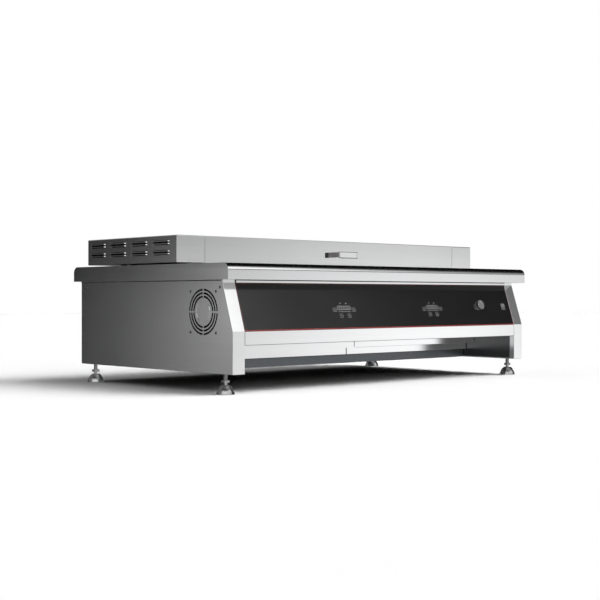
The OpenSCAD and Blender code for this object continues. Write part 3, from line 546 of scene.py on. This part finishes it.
# %% Dress the inner pieces
INNER = {
    base_zinc: ["base_panel"],
    dark_zinc: ["compartment_floor", "divider_panel", "well_pan_left", "well_pan_right"],
    board: ["touch_board_left", "touch_board_right", "control_board"],
    foot_plate: ["knob_shaft", "hinge_pins", "handle_screws", "probe_left", "probe_right"],
    black_plastic: ["rotary_switch", "contactors", "fan_frame_left", "fan_frame_right",
                    "impeller_left", "impeller_right"],
    white_plastic: ["terminal_block"],
    wool: ["well_insulation_left", "well_insulation_right", "cover_insulation"],
    tube: ["heater_left", "heater_right"],
    iron: ["grid_left", "grid_right"],
    rubber: ["housing_spacers", "cover_bumpers"],
    bronze: ["hinge_bushes"],
}
for finish, names in INNER.items():
    for name in names:
        nodes[name].material_slots[0].material = finish
print("dressed", sum(map(len, INNER.values())), "inner pieces")

# %% [markdown]
# ## Folded sheet
# Real sheet has no knife edges: a fold has the radius of the press brake, and a cut edge is
# lightly broken. A solid has neither. So each sheet piece starts as a welded copy of its solid,
# in which a fold is told from a cut by its faces: a fold has a broad face on both sides, and a
# cut has the thickness of the sheet on one. Both are bevelled, folds wide and cuts fine. Small
# fittings aren't mirrored in the steel and the glass, where brushing and smears would blur them.


# %% Helpers for sheet pieces
WELD = 0.001 * mm
FLAT = deg(0.5)
SHARP = deg(25)
CREASE = deg(15)
BROAD = 4 * mm
NO_FOLD = 0
FOLD_STEPS = 6
CUT_STEPS = 1
STRAIGHT_UP = 0.995
STRAIGHT_DOWN = -0.9
LOOKS_DOWN = -0.2
LOOKS_SIDEWAYS = 0.5
# How dark the painted shade is on bevels that look down and on the handle's sides.
SHADE_SHARE = 0.75
# How dark the painted shade is on faces that look straight down.
UNDER_SHADE_SHARE = 0.4


def welded(node):
    """A copy of a solid with its loose triangles joined and its flat faces made whole."""
    data = nodes[node].data
    mesh = bpy.data.meshes.new(node)
    mesh.from_pydata([v.co for v in data.vertices], [], [p.vertices[:] for p in data.polygons])
    bm = bmesh.new()
    bm.from_mesh(mesh)
    bpy.data.meshes.remove(mesh)
    bmesh.ops.remove_doubles(bm, verts=bm.verts, dist=WELD)
    bmesh.ops.dissolve_limit(bm, angle_limit=FLAT, verts=bm.verts, edges=bm.edges)
    return bm


def is_sharp(edge):
    return len(edge.link_faces) == 2 and edge.calc_face_angle() > SHARP


def is_fold(edge):
    length = edge.calc_length()
    broad = min(face.calc_area() for face in edge.link_faces) / length > BROAD
    return edge.is_convex and broad and length > BROAD


def face_mark(bm, title):
    return bm.faces.layers.float.get(title) or bm.faces.layers.float.new(title)


def break_edges(bm, edges, width, segments):
    """Bevels the edges and marks the new faces: painted shade if they look down, rubbed if not."""
    rubbed, soot = face_mark(bm, RUBBED), face_mark(bm, PAINTED_SHADE)
    made = bmesh.ops.bevel(bm, geom=edges, offset=width, segments=segments, profile=0.5,
                           affect="EDGES", clamp_overlap=True)
    for face in made["faces"]:
        face.normal_update()
        low = face.normal.z < LOOKS_DOWN
        face[rubbed] = float(not low)
        # Bevels that look down get painted shade: the dark line of shade under an edge.
        face[soot] = SHADE_SHARE * low


def lay_grain(bm):
    """A flat map in metres for each face, along X, or along Y on faces that look along X."""
    flat = bm.loops.layers.uv.new(GRAIN)
    for face in bm.faces:
        n = face.normal
        looks = max(range(3), key=lambda i: abs(n[i]))
        along, across = ((1, 2), (0, 2), (0, 1))[looks]
        for loop in face.loops:
            loop[flat].uv = (loop.vert.co[along], loop.vert.co[across])


def mark_tops(bm):
    """Marks the faces that look straight up as scoured."""
    scoured = face_mark(bm, SCOURED)
    for face in bm.faces:
        face[scoured] = float(face.normal.z > STRAIGHT_UP)


def mark_shaded_inside(bm):
    """Marks the faces that look towards the middle of a hollow end block for painted shade, dark as
    in a recess.
    """
    soot = face_mark(bm, PAINTED_SHADE)
    slack = mm
    middle = sum((vert.co for vert in bm.verts), Vector()) / len(bm.verts)
    for face in bm.faces:
        inward = middle - face.calc_center_median()
        if inward.dot(face.normal) > 0 and inward.x * face.normal.x > -slack:
            face[soot] = 1


def mark_shaded_under(bm):
    """Marks the faces that look straight down for a lighter painted shade."""
    soot = face_mark(bm, PAINTED_SHADE)
    for face in bm.faces:
        if face.normal.z < STRAIGHT_DOWN:
            face[soot] = UNDER_SHADE_SHARE


def mark_shaded_legs(bm):
    """Marks the faces that look to the left or right for painted shade."""
    soot = face_mark(bm, PAINTED_SHADE)
    for face in bm.faces:
        if abs(face.normal.x) > LOOKS_SIDEWAYS:
            face[soot] = SHADE_SHARE


def to_mesh(bm, name):
    mesh = bpy.data.meshes.new(name)
    bm.to_mesh(mesh)
    bm.free()
    return mesh


def add_piece(mesh, name, body, finish, stands_for=()):
    """Puts a finished mesh on a body, in place of the solids that it stands for."""
    mesh.materials.clear()
    mesh.materials.append(finish)
    mesh.shade_smooth()
    piece = bpy.data.objects.new(name, mesh)
    scene.collection.objects.link(piece)
    even = piece.modifiers.new("even", "WEIGHTED_NORMAL")
    even.weight = 100
    even.keep_sharp = True
    mesh.set_sharp_from_angle(angle=CREASE)
    final = bpy.data.meshes.new_from_object(
        piece.evaluated_get(bpy.context.evaluated_depsgraph_get()))
    piece.modifiers.clear()
    piece.data = final
    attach(piece, body)
    if stands_for:
        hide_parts(*stands_for)
    return piece


def unmirrored(*pieces):
    """Leaves pieces out of what steel and glass mirror."""
    for piece in pieces:
        piece.visible_glossy = False


def sheet_piece(node, finish, fold, cut=0.3 * mm, mark=None):
    """A solid with its folds and cuts bevelled by these widths, and its faces marked for wear and
    painted shade.
    """
    bm = welded(node)
    folds = [edge for edge in bm.edges if is_sharp(edge) and is_fold(edge)]
    if fold:
        break_edges(bm, folds, fold, FOLD_STEPS)
    cuts = [edge for edge in bm.edges if is_sharp(edge) and edge.is_convex]
    break_edges(bm, cuts, cut, CUT_STEPS)
    lay_grain(bm)
    mark_tops(bm)
    if mark:
        mark(bm)
    loose = sum(not edge.is_manifold for edge in bm.edges)
    print(f"{node}: {len(folds)} folds, {len(cuts)} cuts, {len(bm.faces)} faces, {loose} open")
    body = nodes[node]["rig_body"]
    return add_piece(to_mesh(bm, node), node + "_sheet", body, finish, [node])


print("sheet helpers ready")

# %% Fold the sheet pieces
# Node, finish and width of its folds
SHEETS = [
    ("side_panel_left", steel, 1.5 * mm), ("side_panel_right", steel, 1.5 * mm),
    ("back_panel", steel, NO_FOLD), ("front_rail", steel, 1.8 * mm),
    ("panel_frame", steel, 0.8 * mm), ("cover", steel, 2.0 * mm),
    ("cover_liner", steel, NO_FOLD), ("knob_cap", bright_steel, NO_FOLD),
]
made = {node: sheet_piece(node, finish, fold) for node, finish, fold in SHEETS}
sheet_piece("worktop", steel, 2.8 * mm, mark=mark_shaded_under)
pull = sheet_piece("handle", bright_steel, 1.2 * mm, cut=1.2 * mm, mark=mark_shaded_legs)
unmirrored(pull, made["knob_cap"], nodes["handle_screws"])
for side in ("left", "right"):
    sheet_piece("drip_tray_" + side, steel, 1.0 * mm, cut=0.65 * mm)
    sheet_piece("end_block_" + side, steel, 2.0 * mm, mark=mark_shaded_inside)
# The runners' wall gets the darkened steel as painted shade.
sheet_piece("tray_runners", shade_darkened_steel, NO_FOLD)

# %% [markdown]
# ## Bars of painted shade under the rim and on the grip
# Dark bars stand in for the shade under the worktop's rim: along the front from post to post,
# with the left end turned down into the gap beside the post, and along both sides. Two more
# stand in for the shade along the upper and lower edges of the cover's handle. All are plain
# bars, so stretched cubes are enough.

# %% Lay the bars of painted shade
# Middle and size of each bar in millimetres
RIM_SHADE_BARS = {
    "front": ((0, -312, 287.4), (1092, 4, 2.2)),
    "turned_down": ((-544.9, -312, 283.5), (2.2, 4, 10)),
    "left": ((-584.5, 19, 286.7), (4, 648, 2.4)),
    "right": ((584.5, 19, 286.7), (4, 648, 2.4)),
}
GRIP_SHADE_BARS = {
    "lower": ((-22, -189.4, 357.2), (70, 6, 1.8)),
    "upper": ((-22, -189.4, 373.7), (70, 6, 1.6)),
}


def bar_mesh(name, bars):
    bm = bmesh.new()
    for place, size in bars.values():
        cube = bmesh.ops.create_cube(bm, size=mm)["verts"]
        bmesh.ops.scale(bm, verts=cube, vec=size)
        bmesh.ops.translate(bm, verts=cube, vec=Vector(place) * mm)
    return to_mesh(bm, name)


# Both sets of bars are painted shade, dark lines where shade falls.
for name, bars, body in (("rim_seal", RIM_SHADE_BARS, "cabinet"), ("handle_liner", GRIP_SHADE_BARS, "cover")):
    unmirrored(add_piece(bar_mesh(name, bars), name, body, shade_bar_finish))
print("shade bars laid")

# %% [markdown]
# ## The panel
# The glass has a ground edge and the border is a painted strip. The knob and the switch are
# moulded, and so are the gland at the back and the blocks behind the handle. All are broken at
# the edges in the same way as the sheet, but have no folds.

# %% Glass, border and moulded pieces
MOULD_EDGE = 0.4 * mm
sheet_piece("control_glass", glass, NO_FOLD, cut=0.5 * mm)
sheet_piece("panel_trim", red_paint, NO_FOLD, cut=0.15 * mm)
knob = sheet_piece("knob", knob_plastic, NO_FOLD, MOULD_EDGE)
sheet_piece("rocker", grey_plastic, NO_FOLD, MOULD_EDGE)
sheet_piece("rocker_housing", grey_plastic, NO_FOLD, MOULD_EDGE)
sheet_piece("cable_gland", black_plastic, NO_FOLD, cut=0.5 * mm)
blocks = sheet_piece("handle_spacers", black_plastic, NO_FOLD, MOULD_EDGE)
unmirrored(blocks, knob)

# %% [markdown]
# ## Growing what repeats
# Screws, printed marks, grip ribs and threads repeat, so each is a small geometry tree. A mesh
# of bare points says where, with attributes for what differs from point to point, and the tree
# says what. The result is kept as a plain mesh.


# %% Helpers for geometry trees
def new_tree(name, *sizes):
    """A tree that takes points and named sizes. Gives the wires of the points and the sizes."""
    tree = bpy.data.node_groups.new(name, "GeometryNodeTree")
    tree.interface.new_socket("Geometry", in_out="INPUT", socket_type="NodeSocketGeometry")
    tree.interface.new_socket("Geometry", in_out="OUTPUT", socket_type="NodeSocketGeometry")
    for title in sizes:
        tree.interface.new_socket(title, in_out="INPUT", socket_type="NodeSocketFloat")
    points = Wire(tree).node("NodeGroupInput")
    return (points, *(points.other(title) for title in sizes))


def end_tree(geometry, finish):
    """Ends a tree with real, dressed geometry."""
    real = geometry.node("GeometryNodeRealizeInstances", {0: geometry})
    dressed = geometry.node("GeometryNodeSetMaterial", {"Geometry": real, "Material": finish})
    geometry.node("NodeGroupOutput", {0: dressed})
    return geometry.tree


def put(points, shape, **sockets):
    """The shape on each of the points."""
    sockets.update(Points=points, Instance=shape)
    return points.node("GeometryNodeInstanceOnPoints", sockets)


def point_mesh(name, points, **attributes):
    """A mesh of bare points, with vectors or whole numbers as attributes of each."""
    mesh = bpy.data.meshes.new(name)
    mesh.from_pydata(points, [], [])
    for title, values in attributes.items():
        vector = isinstance(values[0], Vector)
        layer = mesh.attributes.new(title, "FLOAT_VECTOR" if vector else "INT", "POINT")
        layer.data.foreach_set("vector" if vector else "value",
                               [c for v in values for c in v] if vector else values)
    return mesh


def grow(tree, points, **sizes):
    """Runs a tree on a point mesh and keeps the result as a plain mesh."""
    carrier = bpy.data.objects.new(tree.name, points)
    scene.collection.objects.link(carrier)
    modifier = carrier.modifiers.new(tree.name, "NODES")
    modifier.node_group = tree
    for item in tree.interface.items_tree:
        if item.in_out == "INPUT" and item.name in sizes:
            modifier[item.identifier] = float(sizes[item.name])
    mesh = bpy.data.meshes.new_from_object(
        carrier.evaluated_get(bpy.context.evaluated_depsgraph_get()))
    bpy.data.objects.remove(carrier)
    print(f"{tree.name}: {len(points.vertices)} points, {len(mesh.polygons)} faces")
    return mesh


print("tree helpers ready")

# %% [markdown]
# ### Screws
# Pan heads hold the fans and the panels. A head is a flat dome with a cross cut in it. The
# places come from the solids, and each head looks away from the cabinet's middle.

# %% Grow the screw heads
OUT = "out"
SCREW_R = 4 * mm
SCREW_H = 2 * mm
CROSS_W = 1.1 * mm
BACK = 340 * mm


def screw_tree():
    points, radius, height, slot = new_tree("screw_heads", "Radius", "Height", "Slot")
    ball = points.node("GeometryNodeMeshUVSphere", {"Segments": 24, "Rings": 12, "Radius": 1.0})
    girth = points.node("ShaderNodeCombineXYZ", {0: radius, 1: radius, 2: height})
    dome = points.node("GeometryNodeTransform", {"Geometry": ball, "Scale": girth})
    lift = points.node("ShaderNodeCombineXYZ", {2: height * 0.95})
    reach = radius * 1.2
    head = dome
    for along, across in ((reach, slot), (slot, reach)):
        box = points.node("ShaderNodeCombineXYZ", {0: along, 1: across, 2: height})
        bar = points.node("GeometryNodeMeshCube", {"Size": box})
        arm = points.node("GeometryNodeTransform", {"Geometry": bar, "Translation": lift})
        head = points.node("GeometryNodeMeshBoolean", {"Mesh 1": head, "Mesh 2": arm},
                           operation="DIFFERENCE")
    outward = points.node("GeometryNodeInputNamedAttribute", {"Name": OUT},
                          data_type="FLOAT_VECTOR")
    lean = points.node("FunctionNodeAlignRotationToVector", {"Vector": outward}, axis="Z")
    return end_tree(put(points, head, Rotation=lean), blackened)


def islands(node):
    """The box of each separate lump in a solid."""
    bm = welded(node)
    left = set(bm.verts)
    boxes = []
    while left:
        lump = {left.pop()}
        edge = set(lump)
        while edge:
            edge = {e.other_vert(v) for v in edge for e in v.link_edges} - lump
            lump |= edge
        left -= lump
        boxes.append([Vector(pick(v.co[i] for v in lump) for i in range(3))
                      for pick in (min, max)])
    bm.free()
    return sorted(boxes, key=lambda box: box[0][:])


def screw_places(node):
    """The middle of each head's foot, and the way that the head looks."""
    places, ways = [], []
    for low, high in islands(node):
        place, size = (low + high) / 2, high - low
        if high.y > BACK and size.y > size.x:
            way = Vector((0, 1, 0))
            place.y = high.y - SCREW_H
        else:
            way = Vector((math.copysign(1, place.x), 0, 0))
            place.x = (high if way.x > 0 else low).x - way.x * SCREW_H
        places.append(place)
        ways.append(way)
    return places, ways


tree = screw_tree()
for node in ("fan_screws", "panel_screws"):
    places, ways = screw_places(node)
    heads = grow(tree, point_mesh(node, places, **{OUT: ways}), Radius=SCREW_R, Height=SCREW_H,
                 Slot=CROSS_W)
    add_piece(heads, node + "_heads", nodes[node]["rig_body"], blackened, [node])

# %% [markdown]
# ### Marks on the glass
# Each touch field has two signal dots, a row of strokes like a scale with a key at each side, and
# two keys under it, all printed in fine pale lines. One list of marks serves both fields: a
# place on the field and a kind. The tree draws each kind once and puts it on its points.

# %% Grow the printed marks
LEAN = deg(18)
ON_SLOPE = (math.pi / 2 - LEAN, 0, 0)
UP_SLOPE = Vector((0, math.sin(LEAN), math.cos(LEAN)))
OFF_PANEL = Vector((0, -math.cos(LEAN), math.sin(LEAN)))
PANEL_FOOT = Vector((0, -350.8, 158.5)) * mm
KIND = "kind"
DOT, KEY, DASH, STROKE = range(4)
INK_T = 0.1 * mm
INK_OUT = 0.03
LINE_W = 0.5 * mm
DOT_R = 1.4 * mm
KEY_W, KEY_H, KEY_CORNER = 12 * mm, 10 * mm, 2 * mm
DASH_SIZE = (5 * mm, 1 * mm, INK_T)
STROKE_SIZE = (1.3 * mm, 9 * mm, INK_T)


def on_panel(x, v, out=0.0):
    """A place on the glass in metres, from millimetres along and up the panel."""
    return PANEL_FOOT + Vector((x, 0, 0)) * mm + UP_SLOPE * v * mm + OFF_PANEL * out * mm


def outline(pen, width, height, corner, line):
    """A rounded frame drawn with a flat line."""
    box_curve = "GeometryNodeCurvePrimitiveQuadrilateral"
    sharp = pen.node(box_curve, {"Width": width, "Height": height})
    soft = pen.node("GeometryNodeFilletCurve", {"Curve": sharp, "Count": 5, "Radius": corner},
                    mode="POLY")
    nib = pen.node(box_curve, {"Width": line, "Height": INK_T})
    return pen.node("GeometryNodeCurveToMesh", {"Curve": soft, "Profile Curve": nib})


def mark_tree():
    points, line = new_tree("panel_marks", "Line")
    shapes = {
        DOT: points.node("GeometryNodeMeshCylinder",
                         {"Vertices": 20, "Radius": DOT_R, "Depth": INK_T}),
        KEY: outline(points, KEY_W, KEY_H, KEY_CORNER, line),
        DASH: points.node("GeometryNodeMeshCube", {"Size": DASH_SIZE}),
        STROKE: points.node("GeometryNodeMeshCube", {"Size": STROKE_SIZE}),
    }
    kind = points.node("GeometryNodeInputNamedAttribute", {"Name": KIND}, data_type="INT")
    all_marks = points.tree.nodes.new("GeometryNodeJoinGeometry")
    for number, shape in shapes.items():
        chosen = points.node("FunctionNodeCompare", {2: kind, 3: number}, data_type="INT",
                             operation="EQUAL")
        laid = put(points, shape, Selection=chosen, Rotation=ON_SLOPE)
        points.tree.links.new(laid.socket, all_marks.inputs[0])
    return end_tree(Wire(points.tree, all_marks.outputs[0]), ink)


# Places in millimetres: along and up from the middle of a field, or along and up the panel
KEYS = ((-36, 0), (36, 0), (-15, -17), (15, -17))
DOTS = ((-11, 18), (11, 18))
STROKES_X, STROKES_V = range(-24, 25, 8), 5
DASHES_X, DASHES_V = range(-20, 21, 8), (-5.5, 0, 10.5)
FIELDS = ((-181, 54), (181, 54))


def field_marks():
    """The marks of one touch field: kind, along and up from its middle in millimetres."""
    marks = [(DOT, x, v) for x, v in DOTS]
    marks += [(kind, x, v) for x, v in KEYS for kind in (KEY, DASH)]
    marks += [(STROKE, x, STROKES_V) for x in STROKES_X]
    marks += [(DASH, x, v) for v in DASHES_V for x in DASHES_X]
    return marks


kinds, places = [], []
for field_x, field_v in FIELDS:
    for kind, x, v in field_marks():
        kinds.append(kind)
        places.append(on_panel(field_x + x, field_v + v, INK_OUT))
marks = grow(mark_tree(), point_mesh("panel_marks", places, **{KIND: kinds}), Line=LINE_W)
add_piece(marks, "panel_marks", "cabinet", ink)

# %% [markdown]
# ### Ribs and skirt of the knob
# Fine ribs round the rim of the knob give the fingers a hold, and a grey moulded skirt widens
# from the panel to the rim. The skirt is one cone and the ribs are rods on a circle.

# %% Grow the ribs and the skirt
KNOB = (377, 58)
KNOB_R = 15 * mm
RIB_COUNT = 40
RIB_R = 0.5 * mm
RIB_L = 4.2 * mm
RIB_MIDDLE = 21.2
SKIRT_R = 8.6 * mm
SKIRT_L = 18 * mm
SKIRT_FOOT = 0.9
SLACK = 0.1 * mm


def rib_tree():
    points, count, radius, rib, length = new_tree("knob_ribs", "Count", "Radius", "Rib", "Length")
    rim = points.node("GeometryNodeMeshCircle", {"Vertices": count, "Radius": radius})
    bar = points.node("GeometryNodeMeshCylinder", {"Vertices": 10, "Radius": rib, "Depth": length})
    return end_tree(put(points, put(rim, bar), Rotation=ON_SLOPE), knob_plastic)


def skirt_tree():
    points, foot, top, height = new_tree("knob_skirt", "Foot", "Top", "Height")
    cone = points.node("GeometryNodeMeshCone", {"Vertices": 40, "Radius Bottom": foot,
                                                "Radius Top": top, "Depth": height})
    return end_tree(put(points, cone, Rotation=ON_SLOPE), skirt_plastic)


ribs = grow(rib_tree(), point_mesh("knob_ribs", [on_panel(*KNOB, RIB_MIDDLE)]), Count=RIB_COUNT,
            Radius=KNOB_R - SLACK, Rib=RIB_R, Length=RIB_L)
ribs = add_piece(ribs, "knob_ribs", "knob", knob_plastic)
skirt = grow(skirt_tree(), point_mesh("knob_skirt", [on_panel(*KNOB, SKIRT_FOOT)]), Foot=SKIRT_R,
             Top=KNOB_R + SLACK, Height=SKIRT_L)
skirt = add_piece(skirt, "knob_skirt", "knob", skirt_plastic)
unmirrored(ribs, skirt, nodes["knob_shaft"])

# %% [markdown]
# ## Feet
# A foot is a turned bell with a rim, a hexagon to set it by and a stem that screws into a
# threaded sleeve. The bell is a profile turned round its axis, a share of the foot's radius and
# a height for each turning cut. The sleeve's thread is a rod whose surface is moved in and out
# along a helix.


# %% Turn the feet
def turn_profile(bm, profile, at, steps=40):
    """Turns (radius, height) points from the axis to the axis round an upright line."""
    rings = []
    for radius, height in profile:
        rings.append([])
        for i in range(steps if radius else 1):
            angle = 2 * math.pi * i / steps
            place = Vector((radius * math.cos(angle), radius * math.sin(angle), height))
            rings[-1].append(bm.verts.new(at + place))
    for low, high in zip(rings, rings[1:]):
        for i in range(steps):
            j = (i + 1) % steps
            corners = [low[i % len(low)], low[j % len(low)],
                       high[j % len(high)], high[i % len(high)]]
            bm.faces.new(list(dict.fromkeys(corners)))


FOOT_R = 23.6 * mm
RIM = 0.6 * mm
BELL_H = 24 * mm
HEX_Z, HEX_H, HEX_FLATS = 29 * mm, 6.5 * mm, 19 * mm
HEX_TURN, HEX_EDGE = deg(10), 0.7 * mm
COLLAR_R = 4.5 * mm
STEM_R = 4 * mm
STEM_TOP = 67 * mm
# Share of the foot's radius, and height in millimetres
BELL = ((0.99, 2), (0.96, 5), (0.91, 8.5), (0.83, 12.5), (0.71, 17), (0.59, 20.5), (0.44, 23.4))


def foot_mesh(node):
    low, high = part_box(node)
    at = Vector(((low.x + high.x) / 2, (low.y + high.y) / 2, 0))
    bm = bmesh.new()
    bell = [(FOOT_R * share, height * mm) for share, height in BELL]
    turn_profile(bm, [(0, 0), (FOOT_R - RIM, 0), (FOOT_R, RIM), *bell,
                      (COLLAR_R, BELL_H), (COLLAR_R, HEX_Z), (0, HEX_Z)], at)
    turn_profile(bm, [(0, HEX_Z + HEX_H), (STEM_R, HEX_Z + HEX_H), (STEM_R, STEM_TOP - mm),
                      (STEM_R - mm, STEM_TOP), (0, STEM_TOP)], at)
    hex_r = HEX_FLATS / math.sqrt(3)
    nut = bmesh.ops.create_cone(bm, cap_ends=True, segments=6, radius1=hex_r, radius2=hex_r,
                                depth=HEX_H)["verts"]
    bmesh.ops.rotate(bm, verts=nut, matrix=Matrix.Rotation(HEX_TURN, 3, "Z"))
    bmesh.ops.translate(bm, verts=nut, vec=at + Vector((0, 0, HEX_Z + HEX_H / 2)))
    corners = {edge for vert in nut for edge in vert.link_edges}
    break_edges(bm, list(corners), HEX_EDGE, 2)
    lay_grain(bm)
    return to_mesh(bm, node)


for node in ("foot_front_left", "foot_front_right", "foot_back_left", "foot_back_right"):
    body = nodes[node]["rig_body"]
    add_piece(foot_mesh(node), node + "_turned", body, foot_plate, [node])
print("turned four feet")


# %% Cut the sleeves' threads
THREAD_PITCH = 1.75 * mm
THREAD_DEPTH = 0.6 * mm
ROWS_PER_PITCH = 6


def thread_tree():
    points, radius, length, pitch, depth = new_tree("threads", "Radius", "Length", "Pitch", "Depth")
    rows = length / pitch * ROWS_PER_PITCH
    rod = points.node("GeometryNodeMeshCylinder", {"Vertices": 32, "Side Segments": rows,
                                                   "Radius": radius, "Depth": length})
    place = points.node("GeometryNodeInputPosition")
    apart = points.node("ShaderNodeSeparateXYZ", {0: place})
    angle = points.math("ARCTAN2", apart.other("Y"), apart)
    wave = points.math("SINE", apart.other("Z") / pitch * (2 * math.pi) - angle)
    inward = points.node("ShaderNodeCombineXYZ", {0: apart, 1: apart.other("Y")})
    share = (wave - 1) * depth / radius / 2
    move = points.node("ShaderNodeVectorMath", {0: inward, "Scale": share}, operation="SCALE")
    cut_rod = points.node("GeometryNodeSetPosition", {"Geometry": rod, "Offset": move})
    return end_tree(put(points, cut_rod), foot_plate)


boxes = islands("foot_sockets")
size = boxes[0][1] - boxes[0][0]
rods = grow(thread_tree(), point_mesh("threads", [(low + high) / 2 for low, high in boxes]),
            Radius=size.x / 2, Length=size.z, Pitch=THREAD_PITCH, Depth=THREAD_DEPTH)
add_piece(rods, "foot_sleeves", "cabinet", foot_plate, ["foot_sockets"])

# %% [markdown]
# ## The floor
# A plain white floor takes the shadow. Steel would mirror it, and it is left out of what steel
# mirrors, because the studio's world already holds the light that comes up from the floor.

# %% Lay the floor
HALF = 12
floor_mesh = bpy.data.meshes.new("floor")
corners = [(-HALF, -HALF, 0), (HALF, -HALF, 0), (HALF, HALF, 0), (-HALF, HALF, 0)]
floor_mesh.from_pydata(corners, [], [(0, 1, 2, 3)])
floor = bpy.data.objects.new("floor", floor_mesh)
scene.collection.objects.link(floor)
floor_paper, shader, pen = new_finish("floor_paper", Roughness=0.9, Specular_IOR_Level=0.0)
fibres = noise(in_place(pen), scale=3, detail=2)
feed(shader, Base_Color=fibres.tint(grey(0.93), grey(0.96)))
floor_mesh.materials.append(floor_paper)
unmirrored(floor)
print("floor laid")
